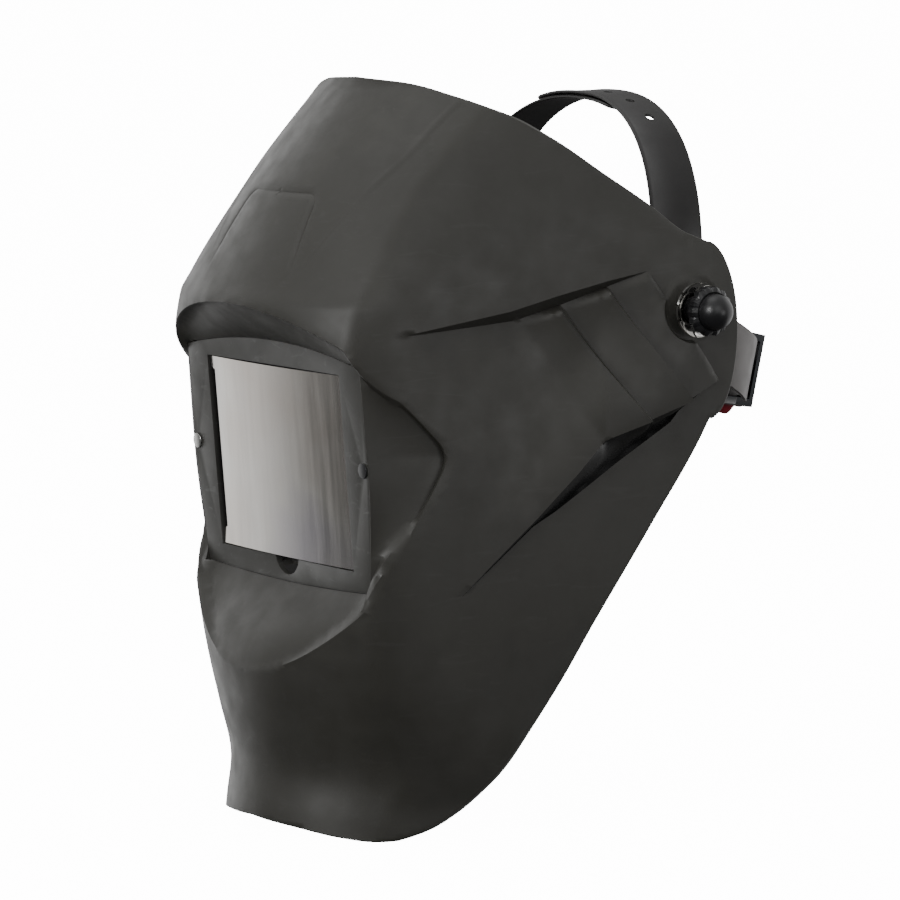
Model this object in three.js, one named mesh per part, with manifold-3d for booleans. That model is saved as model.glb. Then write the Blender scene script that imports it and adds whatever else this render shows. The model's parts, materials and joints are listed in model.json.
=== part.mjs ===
// Welding helmet: tilting visor shell with a lens cassette, on a ratchet headgear.
// Millimetres. +X is the wearer's left, -Y the front, +Z up.
// The origin is the middle of the pivot axis that joins the visor to the headgear.
import * as THREE from 'three';
import { mergeVertices } from 'three/addons/utils/BufferGeometryUtils.js';
import Module from 'manifold-3d';

const wasm = await Module();
wasm.setup();

// ---------------------------------------------------------------- driving dimensions
const GAP = 0.4;                    // clearance between pieces that touch
const WALL = 2.6;                   // visor wall thickness

// Visor shell: horizontal sections, each a bulged front joined to two flat cheeks.
const FRONT = [                     // height, distance of the front from the pivot axis
  [-250, 185], [-234, 183], [-215, 180], [-190, 184], [-172, 186.5], [-156, 188], [-128, 190],
  [-60, 196], [-20, 199], [5, 196.5], [14, 191.5], [54, 167.5], [106, 124.5],
];
const BULGE = [                     // height, radius of the front's curve
  [-250, 78], [-232, 79], [-213, 84], [-190, 97], [-172, 112], [-156, 125], [-128, 140],
  [-60, 150], [-20, 150], [14, 140], [54, 110], [106, 92],
];
const CHEEK = [                     // height, half width on the pivot axis
  [-250, 79], [-232, 81], [-212, 86.5], [-171, 92.5], [-118, 97], [-60, 99], [0, 99],
  [50, 96], [88, 91], [106, 87],
];
const CORNER = [[-250, 10], [-170, 18], [-60, 24], [5, 30], [60, 20], [106, 8]];
const TAPER = 0.085;                // the cheeks come together towards the front
const RIM_TOP = [                   // angle from the front in degrees, height of the upper edge
  [0, 107.5], [14.6, 105.9], [28.2, 100.2], [40.6, 91.8], [49.6, 81.4], [63.4, 64.1],
  [78.8, 47.4], [89.1, 35.2], [95.8, 30.5],
];
const RIM_BOTTOM = [
  [0, -236.5], [9, -238.4], [16.6, -241.6], [23, -243.4], [27, -240.2], [30.9, -233.3],
  [34.7, -224.8], [39.4, -213.5], [45.7, -193.5], [52.5, -172], [61.2, -144.5], [77.4, -101],
  [92, -63.6], [95.8, -52],
];
const EAR_START = 95.8;             // degrees: where the edges round off into the ear
const EAR_END = 104.4;
const EAR_HEIGHT = -11;
const SHELL_COLUMNS = 27;           // per side
const SHELL_ROWS = 25;

// Lens recess in the visor's front
const PANEL_FRONT = -167;           // front plane of the lens frame, at its middle height
const PANEL_MIDDLE = -67.8;
const PANEL_LEAN = Math.atan(0.088);
const FRAME_PLATE = 2.6;
const APEX_FRONT = -131;            // where the recess's side facets end in a point
const APEX_HEIGHT = -62;
const FRAME_TOP = 54.8;             // above the panel's middle
const FRAME_BOTTOM = -60.3;
const FRAME_HALF_TOP = 75;
const FRAME_HALF_MIDDLE = 77;
const FRAME_HALF_BOTTOM = 71;
const WINDOW_MIDDLE = -2.9;         // height of the window's middle above the panel's middle
const COVER_WIDTH = 114.4;
const COVER_HEIGHT = 90.8;
const COVER_BOW = 1.8;
const GLASS_WIDTH = 110;
const GLASS_HEIGHT = 90;
const COLLAR_HALF_WIDTH = 69.4;
const COLLAR_TOP = 48.4;
const COLLAR_BOTTOM = -54.2;
const COLLAR_DEPTH = 12.4;
const COLLAR_WALL = 2;
const HINGE_HEIGHT = -48.4;         // the retainer's hinge, above the panel's middle
const HINGE_DEPTH = 10.6;
const PIN_X = 73;

// Cheek relief, in distance behind the pivot axis and height
const LINE_UPPER = [[-158, -6.5], [-97.4, 3], [-72, 9.2], [-45, 15], [-23.6, 18.8]];
const LINE_TOP = [[-158, -6.5], [-97, -1.8], [-71.4, 4.5], [-45, 12.2], [-23.6, 18.8], [15, -33.4]];
const LINE_LOW = [
  [-123, -129.5], [-81.3, -93], [-61.4, -73.5], [-48.6, -58.7], [-24.7, -50.2], [-2.8, -41.9],
  [15, -33.4],
];
const LINE_BORDER = [
  [-123, -129.5], [-84.5, -97.5], [-73.3, -91.5], [-55.3, -80], [-40, -70], [-11.5, -53],
  [-6.6, -47.5], [15, -33.4],
];
const SINK = [[-158, 0], [-97, 5.5], [-71.4, 5], [-45, 3], [-23.6, 0]];
const RISE = [[-123, 0], [-81, 2.5], [-61.4, 6], [-48.6, 8.5], [-24.7, 7.5], [-2.8, 4.5], [15, 0]];
const SLAT_EDGES = [
  [[-97, -1.8], [-48.6, -58.7]], [[-71.4, 4.5], [-24.7, -50.2]], [[-45, 12.2], [-2.8, -41.9]],
  [[-23.6, 18.8], [15, -33.4]],
];
const SLAT_LIFT = [4.6, 4.6, 2];

// Pivot stack, along +X from the headgear outwards
const STUD_RADIUS = 4;
const STUD_END = 117.5;
const FLANGE = [79.1, 81.0];
const HANGER = [81.4, 84.2];
const STOP_PLATE = [84.6, 92.8];
const WASHER = [93.2, 95.0];
const BOSS = [95.4, 98.6];
const SEAT_RADIUS = 14.6;
const CUP_BASE = 99.0;
const CUP_RIM = 105.6;
const CUP_RADIUS = 13.2;
const KNOB_START = 101.2;
const KNOB_END = 126;
const KNOB_FLANGE_RADIUS = 11.5;
const KNOB_DOME_RADIUS = 8.4;
const RIVET_RADIUS = 1.9;           // hanger plate to headband
const RIVET_Y = -21;
const RIVET_Z = 1.5;

// Headgear
const RING_HALF_WIDTH = 76;
const RING_HALF_LENGTH = 96;
const RING_MIDDLE = -6;
const RING_POWER = 2.5;
const RING_SLOPE = 0.37;            // the ring drops towards the nape
const RING_DROP = -3;
const BAND_THICKNESS = 1.8;
const BAND_HEIGHT_FRONT = 27;
const BAND_HEIGHT_SIDE = 20;
const BAND_END = 106;               // degrees from the forehead
const CROWN_THICKNESS = 1.5;
const CROWN_X = [79.3, 80.8];
const CROWN_TOP = 95;
const CROWN_FOOT = -14;
const NAPE_Y = 85.1;
const NAPE_Z = -43.4;
const NAPE_LEAN = THREE.MathUtils.degToRad(-13);
const RACK_RADIUS = 4.5;            // pitch radius of the pinion
const PINION_TEETH = 10;
const TOOTH_PITCH = 2 * Math.PI * RACK_RADIUS / PINION_TEETH;
const TAIL_THICKNESS = 1.6;
const TAIL_SLOPE = 0.21;            // the tails rise towards the temples
const TAIL_WIDTH = [20, 30];        // in the nape housing, and round the head
const NAPE_STRAIGHT = 15;           // the housing and the tails curve forwards from here
const NAPE_SIDE = 73.2;             // half width where the tails run straight forwards
const NAPE_SWEEP = 60;              // how far forwards the curve takes them
const HOUSING_HALF = 41;            // half width of the nape housing
const BASE_HALF = 17;
const HOUSING_BOTTOM = -14;         // from the pinion's axis
const HOUSING_TOP = 22;
const HOUSING_WALL = 3.6;
const RATCHET_KNOB_RADIUS = 18.5;
const KNOB_LOBE = 1.6;              // height of its eight lobes
const NOTCH_RADIUS = 10.4;          // finger notch below the window

// ---------------------------------------------------------------- small maths
// Smooth curve through [x, y] knots that never overshoots them.
function curve(x, knots) {
  const count = knots.length;
  const step = [];
  const rise = [];
  for (let i = 0; i < count - 1; i += 1) {
    step.push(knots[i + 1][0] - knots[i][0]);
    rise.push((knots[i + 1][1] - knots[i][1]) / step[i]);
  }
  const slope = knots.map((knot, i) => {
    if (i === 0) return rise[0];
    if (i === count - 1) return rise[count - 2];
    if (rise[i - 1] * rise[i] <= 0) return 0;
    const before = 2 * step[i] + step[i - 1];
    const after = step[i] + 2 * step[i - 1];
    return (before + after) / (before / rise[i - 1] + after / rise[i]);
  });
  const inside = THREE.MathUtils.clamp(x, knots[0][0], knots[count - 1][0]);
  let i = 0;
  while (i < count - 2 && inside > knots[i + 1][0]) i += 1;
  const t = (inside - knots[i][0]) / step[i];
  const left = knots[i][1] * (2 * t ** 3 - 3 * t ** 2 + 1) + step[i] * slope[i] * (t ** 3 - 2 * t ** 2 + t);
  const right = knots[i + 1][1] * (3 * t ** 2 - 2 * t ** 3) + step[i] * slope[i + 1] * (t ** 3 - t ** 2);
  return left + right;
}

// Straight lines through [x, y] knots.
function polyline(x, knots) {
  const last = knots.length - 1;
  if (x <= knots[0][0]) return knots[0][1];
  if (x >= knots[last][0]) return knots[last][1];
  let i = 0;
  while (x > knots[i + 1][0]) i += 1;
  const t = (x - knots[i][0]) / (knots[i + 1][0] - knots[i][0]);
  return THREE.MathUtils.lerp(knots[i][1], knots[i + 1][1], t);
}

function roundedMin(a, b, radius) {
  const h = Math.max(radius - Math.abs(a - b), 0) / radius;
  return Math.min(a, b) - h * h * radius / 4;
}

function roundedMax(a, b, radius) {
  return -roundedMin(-a, -b, radius);
}

// ---------------------------------------------------------------- solids
// A closed body from corner points and triangles, with its faces turned outwards.
function closedBody(points, triangles) {
  let volume = 0;
  for (const [a, b, c] of triangles) {
    volume += points[a].dot(new THREE.Vector3().crossVectors(points[b], points[c]));
  }
  const faces = volume < 0 ? triangles.map(([a, b, c]) => [a, c, b]) : triangles;
  const geometry = new THREE.BufferGeometry();
  const values = points.flatMap((point) => point.toArray());
  geometry.setAttribute('position', new THREE.Float32BufferAttribute(values, 3));
  geometry.setIndex(faces.flat());
  return geometry;
}

// A bar whose convex cross sections are lists of points with the same count.
function loft(sections) {
  const size = sections[0].length;
  const points = sections.flat();
  const triangles = [];
  for (let i = 0; i < sections.length - 1; i += 1) {
    for (let j = 0; j < size; j += 1) {
      const a = i * size + j;
      const b = i * size + (j + 1) % size;
      triangles.push([a, b, b + size], [a, b + size, a + size]);
    }
  }
  const last = (sections.length - 1) * size;
  for (let j = 1; j < size - 1; j += 1) {
    triangles.push([0, j + 1, j], [last, last + j, last + j + 1]);
  }
  return closedBody(points, triangles);
}

// A strap: a flat bar that follows a path, with its width along a given direction.
function strap(path, widthDirection, width, thickness) {
  const sections = path.map((point, i) => {
    const before = path[Math.max(i - 1, 0)];
    const after = path[Math.min(i + 1, path.length - 1)];
    const along = new THREE.Vector3().subVectors(after, before).normalize();
    const out = new THREE.Vector3().crossVectors(along, widthDirection).normalize();
    const half = widthDirection.clone().multiplyScalar(width(i / (path.length - 1)) / 2);
    const thick = out.multiplyScalar(thickness);
    return [
      point.clone().sub(half),
      point.clone().add(half),
      point.clone().add(half).add(thick),
      point.clone().sub(half).add(thick),
    ];
  });
  return loft(sections);
}

// A body of revolution about the X axis from [radius, x] pairs.
function turnedX(profile, segments = 32) {
  const points = profile.map(([radius, x]) => new THREE.Vector2(radius, x));
  return new THREE.LatheGeometry(points, segments).rotateZ(-Math.PI / 2);
}

function cylinderX(radius, start, end, segments = 24) {
  return new THREE.CylinderGeometry(radius, radius, end - start, segments)
    .rotateZ(-Math.PI / 2)
    .translate((start + end) / 2, 0, 0);
}

function cylinderY(radius, start, end, segments = 24) {
  return new THREE.CylinderGeometry(radius, radius, end - start, segments)
    .translate(0, (start + end) / 2, 0);
}

function block(low, high) {
  const size = high.map((value, i) => value - low[i]);
  const middle = high.map((value, i) => (value + low[i]) / 2);
  return new THREE.BoxGeometry(...size).translate(...middle);
}

// A plate that lies across Y: an outline in X and Z, from one Y to another.
function plate(outline, start, end) {
  const shape = new THREE.Shape(outline.map(([x, z]) => new THREE.Vector2(x, z)));
  return new THREE.ExtrudeGeometry(shape, { depth: end - start, bevelEnabled: false })
    .rotateX(Math.PI / 2)
    .translate(0, end, 0);
}

function rectangle(halfWidth, bottom, top) {
  return [[-halfWidth, bottom], [halfWidth, bottom], [halfWidth, top], [-halfWidth, top]];
}

// A copy on the other side of the plane X = 0, with its faces turned outwards again.
function mirrored(geometry) {
  const copy = geometry.clone().applyMatrix4(new THREE.Matrix4().makeScale(-1, 1, 1));
  const index = copy.getIndex()
    ? Array.from(copy.getIndex().array)
    : [...copy.attributes.position.array.keys()].slice(0, copy.attributes.position.count);
  for (let i = 0; i < index.length; i += 3) [index[i], index[i + 1]] = [index[i + 1], index[i]];
  copy.setIndex(index);
  return copy;
}

function toManifold(geometry) {
  const bare = geometry.clone();
  bare.deleteAttribute('normal');
  bare.deleteAttribute('uv');
  const merged = mergeVertices(bare, 1e-4);
  return new wasm.Manifold(new wasm.Mesh({
    numProp: 3,
    vertProperties: new Float32Array(merged.attributes.position.array),
    triVerts: new Uint32Array(merged.getIndex().array),
  }));
}

function toGeometry(manifold) {
  const mesh = manifold.getMesh();
  const geometry = new THREE.BufferGeometry();
  geometry.setAttribute('position', new THREE.Float32BufferAttribute(mesh.vertProperties, 3));
  geometry.setIndex(Array.from(mesh.triVerts));
  return geometry;
}

function cut(geometry, ...tools) {
  const body = tools.reduce((left, tool) => left.subtract(toManifold(tool)), toManifold(geometry));
  return toGeometry(body);
}

function join(geometry, ...others) {
  const body = others.reduce((left, other) => left.add(toManifold(other)), toManifold(geometry));
  return toGeometry(body);
}

// ---------------------------------------------------------------- materials and nodes
const helmet = new THREE.Group();
helmet.name = 'welding_helmet';

function material(color, roughness, metalness = 0) {
  return () => new THREE.MeshStandardMaterial({ color, roughness, metalness });
}

const shellPlastic = material(0x32322f, 0.55);
const framePlastic = material(0x3a3a37, 0.5);
const clearPlastic = material(0x8c857a, 0.08);
const darkGlass = material(0x2c3126, 0.05);
const clearGlass = material(0xb8c0bc, 0.05);
const blackRubber = material(0x1c1c1c, 0.8);
const chrome = material(0xd8d8d6, 0.12, 1);
const steel = material(0xa8a8a6, 0.3, 1);
const fibre = material(0x7b6247, 0.85);
const blackPlastic = material(0x1b1b1c, 0.4);
const bandPlastic = material(0x2b2a28, 0.5);
const redPlastic = material(0xa0142a, 0.35);
const padFoam = material(0x4a4642, 0.9);

function add(parent, name, geometry, makeMaterial) {
  const mesh = new THREE.Mesh(geometry, makeMaterial());
  mesh.name = name;
  parent.add(mesh);
  return mesh;
}

// ---------------------------------------------------------------- visor shell
// Distance from the vertical axis to the plain outer surface.
function shellBase(angle, z) {
  const radius = curve(z, BULGE);
  const centre = curve(z, FRONT) - radius;
  const sine = Math.sin(angle);
  const cosine = Math.cos(angle);
  const square = radius ** 2 - (centre * sine) ** 2;
  const meets = square > 0 && cosine > 0;
  const front = meets ? centre * cosine + Math.sqrt(square) : 1000;
  const cheek = curve(z, CHEEK) / Math.max(sine + TAPER * cosine, 0.05);
  return roundedMin(front, cheek, curve(z, CORNER));
}

// The lens recess: a flat panel, a flat facet on each side, a brow above and a lip below.
function withRecess(angle, z, base) {
  const sine = Math.sin(angle);
  const cosine = Math.cos(angle);
  const x = base * sine;
  const y = -base * cosine;
  if (z > 8 || z < -160 || cosine < 0.5 || x > 90) return base;
  const panelY = PANEL_FRONT - Math.tan(PANEL_LEAN) * (z - PANEL_MIDDLE);
  const panelX = curve(z, [[-128, FRAME_HALF_BOTTOM], [-70, FRAME_HALF_MIDDLE], [-20, FRAME_HALF_TOP + 1]]);
  const above = z - APEX_HEIGHT;
  const edgeY = APEX_FRONT - (above > 0 ? above : -0.56 * above);
  const facetY = Math.max(edgeY, panelY + 6);
  const facetX = curve(z, CHEEK) + TAPER * facetY - 3.4;
  const across = sine * (facetY - panelY) + cosine * (facetX - panelX);
  const facet = across > 1 ? (panelX * (facetY - panelY) - panelY * (facetX - panelX)) / across : 1000;
  const floor = Math.min(-panelY / cosine, facet);
  const floorX = floor * sine;
  const browInner = -13 - 7.5 * (floorX / 75) ** 2;
  const browOuter = curve(x, [[0, 5.8], [30, 5], [51, 2.2], [63, -2.2], [73, -10.3], [78, -19.5]]);
  const lipInner = -128.1 + 2.5 * (floorX / 72) ** 2;
  const lipOuter = curve(x, [[0, -157.5], [40, -155], [64, -146.6], [75, -128], [80, -115]]);
  const upper = (z - browInner) / (browOuter - browInner);
  const lower = (lipInner - z) / Math.max(lipInner - lipOuter, 3);
  const pastUpper = ((y - APEX_FRONT) + above) / Math.SQRT2;
  const pastLower = ((y - APEX_FRONT) - 0.56 * above) / 1.146;
  const side = (roundedMax(pastUpper, pastLower, 9) + 1) / 2.5;
  const blend = THREE.MathUtils.clamp(Math.max(upper, lower, side), 0, 1);
  return Math.min(base, floor + (base - floor) * blend);
}

function behindLine([[y0, z0], [y1, z1]], y, z) {
  return ((y0 - y) * (z1 - z0) + (z - z0) * (y1 - y0)) / Math.hypot(y1 - y0, z1 - z0);
}

// Height of the cheek's relief: two wedge-shaped steps that open towards the rear,
// with three overlapping slats between them.
function cheekRelief(y, z) {
  const beyond = behindLine(SLAT_EDGES[3], y, z);
  if (y < -158 || y > 15 || (y > -23.6 && beyond > 0)) return 0;
  const upper = polyline(y, LINE_UPPER);
  const top = polyline(y, LINE_TOP);
  const low = polyline(y, LINE_LOW);
  const border = polyline(y, LINE_BORDER);
  const sink = polyline(y, SINK);
  const rise = polyline(y, RISE);
  if (z > top) return -sink * THREE.MathUtils.clamp((upper - z) / Math.max(upper - top, 0.3), 0, 1);
  const hollow = -sink * (1 - THREE.MathUtils.smoothstep(top - z, 0, 60));
  if (y < -123) return hollow;
  if (z < low) {
    const height = (z - border) / Math.max(low - border, 0.3);
    return height > 0 ? rise * height : 0;
  }
  let relief = hollow + rise * (1 - THREE.MathUtils.smoothstep(z - low, 0, 60));
  for (let i = 0; i < 3; i += 1) {
    const start = behindLine(SLAT_EDGES[i], y, z);
    const end = -behindLine(SLAT_EDGES[i + 1], y, z);
    if (start >= 0 && end > 0) {
      const ramp = SLAT_LIFT[i] * (start / (start + end)) ** 1.2;
      relief += ramp * Math.min(end / 1.3, 1) * Math.min((top - z) / 4, 1);
    }
  }
  return relief;
}

function shellRadius(angle, z) {
  const base = shellBase(angle, z);
  const slope = Math.max(Math.sin(angle) + TAPER * Math.cos(angle), 0.3);
  const relief = angle > 0.45 ? cheekRelief(-base * Math.cos(angle), z) : 0;
  return withRecess(angle, z, base) + relief / slope;
}

function rimHeight(degrees, knots) {
  if (degrees <= EAR_START) return curve(degrees, knots);
  const t = (degrees - EAR_START) / (EAR_END - EAR_START);
  const end = knots[knots.length - 1][1];
  return EAR_HEIGHT + (end - EAR_HEIGHT) * Math.sqrt(Math.max(1 - t * t, 0));
}

function shellPoint(angle, z, inwards) {
  const side = Math.abs(angle);
  const radius = shellRadius(side, z);
  const turn = 0.03;
  const rise = 4;
  const around = (shellRadius(side + turn, z) - shellRadius(Math.max(side - turn, 0), z)) / (2 * turn);
  const upwards = (shellRadius(side, z + rise) - shellRadius(side, z - rise)) / (2 * rise);
  const stretch = Math.min(Math.hypot(1, around / radius, upwards), 2.4);
  const distance = radius - inwards * stretch;
  return new THREE.Vector3(distance * Math.sin(angle), -distance * Math.cos(angle), z);
}

function shellGeometry() {
  const angles = [];
  for (let i = -SHELL_COLUMNS; i <= SHELL_COLUMNS; i += 1) {
    const share = Math.abs(i) / SHELL_COLUMNS;
    angles.push(Math.sign(i) * (EAR_END - 0.35) * share ** 1.2);
  }
  const points = [];
  for (const inwards of [0, WALL]) {
    for (const degrees of angles) {
      const bottom = rimHeight(Math.abs(degrees), RIM_BOTTOM);
      const top = rimHeight(Math.abs(degrees), RIM_TOP);
      for (let j = 0; j <= SHELL_ROWS; j += 1) {
        const z = THREE.MathUtils.lerp(bottom, top, j / SHELL_ROWS);
        points.push(shellPoint(THREE.MathUtils.degToRad(degrees), z, inwards));
      }
    }
  }
  const rows = SHELL_ROWS + 1;
  const columns = angles.length;
  const layer = rows * columns;
  const triangles = [];
  const quad = (a, b, c, d) => triangles.push([a, b, c], [a, c, d]);
  for (let i = 0; i < columns - 1; i += 1) {
    for (let j = 0; j < SHELL_ROWS; j += 1) {
      const a = i * rows + j;
      quad(a, a + rows, a + rows + 1, a + 1);
      quad(layer + a, layer + a + 1, layer + a + rows + 1, layer + a + rows);
    }
    const foot = i * rows;
    const head = foot + SHELL_ROWS;
    quad(foot, layer + foot, layer + foot + rows, foot + rows);
    quad(head, head + rows, layer + head + rows, layer + head);
  }
  const end = (columns - 1) * rows;
  for (let j = 0; j < SHELL_ROWS; j += 1) {
    quad(j, j + 1, layer + j + 1, layer + j);
    quad(end + j, layer + end + j, layer + end + j + 1, end + j + 1);
  }
  return closedBody(points, triangles);
}

// Outline of the lens frame, in X and in height above the panel's middle.
function frameOutline(margin) {
  const outline = [];
  for (let i = -6; i <= 6; i += 1) {
    const x = i / 6;
    outline.push([x * (FRAME_HALF_BOTTOM + margin), FRAME_BOTTOM - margin + 2.5 * x * x]);
  }
  outline.push([FRAME_HALF_MIDDLE + margin, 0]);
  for (let i = 6; i >= -6; i -= 1) {
    const x = i / 6;
    outline.push([x * (FRAME_HALF_TOP + margin), FRAME_TOP + margin - 7.5 * x * x]);
  }
  outline.push([-FRAME_HALF_MIDDLE - margin, 0]);
  return outline;
}

function onPanel(geometry) {
  return geometry.rotateX(PANEL_LEAN).translate(0, PANEL_FRONT, PANEL_MIDDLE);
}

function helmetShell() {
  const pocket = onPanel(plate(frameOutline(0.5), -30, FRAME_PLATE + 0.3));
  const room = 2 * GAP;
  const passage = rectangle(COLLAR_HALF_WIDTH + room, COLLAR_BOTTOM - room, COLLAR_TOP + room);
  const opening = onPanel(plate(passage, -5, 40));
  const pinHoles = [-1, 1].map((side) => onPanel(cylinderY(2.6, -5, 20, 16).translate(side * PIN_X, 0, 0)));
  const bosses = [-1, 1].map((side) => (
    cylinderX(SEAT_RADIUS + 2, BOSS[0], BOSS[1]).rotateZ(side > 0 ? 0 : Math.PI)
  ));
  const seats = [-1, 1].map((side) => (
    cylinderX(SEAT_RADIUS, BOSS[1], BOSS[1] + 12).rotateZ(side > 0 ? 0 : Math.PI)
  ));
  const bore = cylinderX(STUD_RADIUS + 0.8, -110, 110);
  return cut(join(shellGeometry(), ...bosses), pocket, opening, ...pinHoles, ...seats, bore);
}

const visor = new THREE.Group();
helmet.add(visor);
add(visor, 'helmet_shell', helmetShell(), shellPlastic);

// ---------------------------------------------------------------- lens cassette
// Local frame: Y runs back into the helmet from the panel's front plane.
const cassette = new THREE.Group();
cassette.position.set(0, PANEL_FRONT, PANEL_MIDDLE);
cassette.rotation.x = PANEL_LEAN;
visor.add(cassette);

function windowRectangle(width, height) {
  return rectangle(width / 2, WINDOW_MIDDLE - height / 2, WINDOW_MIDDLE + height / 2);
}

function lensFrame() {
  const face = plate(frameOutline(0), 0, FRAME_PLATE);
  const collarOutline = rectangle(COLLAR_HALF_WIDTH, COLLAR_BOTTOM, COLLAR_TOP);
  const collar = plate(collarOutline, FRAME_PLATE - GAP, COLLAR_DEPTH);
  const hollow = plate(
    rectangle(COLLAR_HALF_WIDTH - COLLAR_WALL, COLLAR_BOTTOM + COLLAR_WALL, COLLAR_TOP - COLLAR_WALL),
    FRAME_PLATE + 0.4,
    COLLAR_DEPTH + 5,
  );
  const window = plate(windowRectangle(COVER_WIDTH + 1.6, COVER_HEIGHT + 1.2), -5, 8);
  const notchMiddle = WINDOW_MIDDLE - COVER_HEIGHT / 2 + 1.6;
  const notch = cylinderY(NOTCH_RADIUS, -5, 8, 40).translate(0, 0, notchMiddle);
  const pins = [-PIN_X, PIN_X].map((x) => cylinderY(2.2, -5, 8, 16).translate(x, 0, 0));
  const trunnion = cylinderX(2.1, -80, 80, 16).translate(0, HINGE_DEPTH, HINGE_HEIGHT);
  return cut(join(face, collar), hollow, window, notch, ...pins, trunnion);
}

// The snap-in cover is bowed outwards about an upright axis.
function coverLens() {
  const steps = 12;
  const bottom = WINDOW_MIDDLE - COVER_HEIGHT / 2;
  const top = WINDOW_MIDDLE + COVER_HEIGHT / 2;
  const sections = [];
  for (let i = 0; i <= steps; i += 1) {
    const t = 2 * i / steps - 1;
    const x = t * COVER_WIDTH / 2;
    const front = 1.3 - COVER_BOW * (1 - t * t);
    sections.push([
      new THREE.Vector3(x, front, bottom),
      new THREE.Vector3(x, front + 1.2, bottom),
      new THREE.Vector3(x, front + 1.2, top),
      new THREE.Vector3(x, front, top),
    ]);
  }
  return loft(sections);
}

function ringPlate(width, height, barX, barZ, start, end) {
  return cut(
    plate(windowRectangle(width, height), start, end),
    plate(windowRectangle(width - 2 * barX, height - 2 * barZ), start - 1, end + 1),
  );
}

function retainer() {
  const frame = ringPlate(130, 88.5, 14, 7, HINGE_DEPTH - 1.4, COLLAR_DEPTH + 0.8);
  const trunnions = cylinderX(1.6, -69, 69, 16).translate(0, HINGE_DEPTH, HINGE_HEIGHT);
  const middle = block([-62, 0, -60], [62, 30, HINGE_HEIGHT + 1]);
  const bars = [-1, 1].map((side) => block(
    [side > 0 ? 60 : -65, HINGE_DEPTH - 1.4, HINGE_HEIGHT - 1.4],
    [side > 0 ? 65 : -60, COLLAR_DEPTH, HINGE_HEIGHT + 8],
  ));
  return join(frame, ...bars, cut(trunnions, middle));
}

function framePin() {
  return join(cylinderY(1.8, -0.5, 9, 16), cylinderY(3.6, -0.8, -0.3, 20));
}

add(cassette, 'lens_frame', lensFrame(), framePlastic);
add(cassette, 'cover_lens', coverLens(), clearPlastic);
add(cassette, 'lens_gasket', ringPlate(118, 95, 5, 4, 3.3, 4.3), blackRubber);
add(cassette, 'filter_glass', plate(windowRectangle(GLASS_WIDTH, GLASS_HEIGHT), 4.7, 7.7), darkGlass);
add(cassette, 'inner_cover_lens', plate(windowRectangle(GLASS_WIDTH, GLASS_HEIGHT), 7.9, 8.9), clearGlass);
add(cassette, 'glass_retainer', retainer(), framePlastic);
add(cassette, 'frame_pin_right', framePin().translate(-PIN_X, 0, 0), steel);
add(cassette, 'frame_pin_left', framePin().translate(PIN_X, 0, 0), blackPlastic);

// ---------------------------------------------------------------- pivots
const headgear = new THREE.Group();
helmet.add(headgear);

function pivotStud() {
  return join(cylinderX(6.6, FLANGE[0], FLANGE[1]), cylinderX(STUD_RADIUS, FLANGE[1] - 0.5, STUD_END));
}

function hanger() {
  const shape = new THREE.Shape();
  shape.moveTo(-26, -13);
  shape.lineTo(12, -17);
  shape.absarc(8, -5, 12, -Math.PI / 3, Math.PI / 2, false);
  shape.lineTo(-26, 7);
  const body = new THREE.ExtrudeGeometry(shape, {
    depth: HANGER[1] - HANGER[0], bevelEnabled: false, curveSegments: 10,
  });
  body.rotateX(Math.PI / 2).rotateZ(Math.PI / 2).translate(HANGER[0], 0, 0);
  const rivetHole = cylinderX(RIVET_RADIUS + 0.3, 60, 100, 16).translate(0, RIVET_Y, RIVET_Z);
  return cut(body, cylinderX(STUD_RADIUS + 0.4, 60, 120), rivetHole);
}

function stopPlate() {
  const disc = cylinderX(15, STOP_PLATE[0], STOP_PLATE[1], 32);
  const holes = [-40, 0, 40].map((degrees) => {
    const turn = THREE.MathUtils.degToRad(degrees + 90);
    return cylinderX(1.9, 80, 99, 12).translate(0, 10.5 * Math.cos(turn), 10.5 * Math.sin(turn));
  });
  return cut(disc, cylinderX(STUD_RADIUS + 0.4, 60, 120), ...holes);
}

function frictionWasher() {
  return cut(cylinderX(13.5, ...WASHER, 32), cylinderX(STUD_RADIUS + 0.6, 80, 110));
}

// A dished spring disc with radial slots; its open side faces out.
function springCup() {
  const cup = turnedX([
    [STUD_RADIUS + 0.6, CUP_BASE], [9, CUP_BASE], [CUP_RADIUS, CUP_RIM - 0.9], [CUP_RADIUS, CUP_RIM],
    [12.2, CUP_RIM], [8.6, CUP_BASE + 1], [STUD_RADIUS + 0.6, CUP_BASE + 1], [STUD_RADIUS + 0.6, CUP_BASE],
  ], 24);
  const slots = [];
  for (let i = 0; i < 6; i += 1) {
    slots.push(block([90, 7.6, -0.7], [110, 20, 0.7]).rotateX((i + 0.35) * Math.PI / 3));
  }
  return cut(cup, ...slots);
}

function tensionKnob() {
  const dome = [];
  for (let i = 0; i <= 6; i += 1) {
    const turn = i * Math.PI / 12;
    dome.push([KNOB_DOME_RADIUS * Math.cos(turn), KNOB_END - 8 + 8 * Math.sin(turn)]);
  }
  dome[dome.length - 1][0] = 0;
  const core = turnedX([
    [0, KNOB_START], [6.6, KNOB_START], [7.2, 107.6], [9, 108], [9, 113.6], [8.6, 114.2], ...dome,
  ]);
  const outline = [];
  for (let i = 0; i < 48; i += 1) {
    const turn = i * Math.PI / 24;
    const radius = KNOB_FLANGE_RADIUS + 0.45 * Math.cos(12 * turn);
    outline.push([radius * Math.cos(turn), radius * Math.sin(turn)]);
  }
  const flange = plate(outline, 107.8, 113).rotateZ(-Math.PI / 2);
  return cut(join(core, flange), cylinderX(STUD_RADIUS + 0.3, 90, STUD_END + 1));
}

function onSide(name, side, parent, geometry, makeMaterial) {
  const placed = side > 0 ? geometry : mirrored(geometry);
  return add(parent, `${name}_${side > 0 ? 'left' : 'right'}`, placed, makeMaterial);
}

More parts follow.
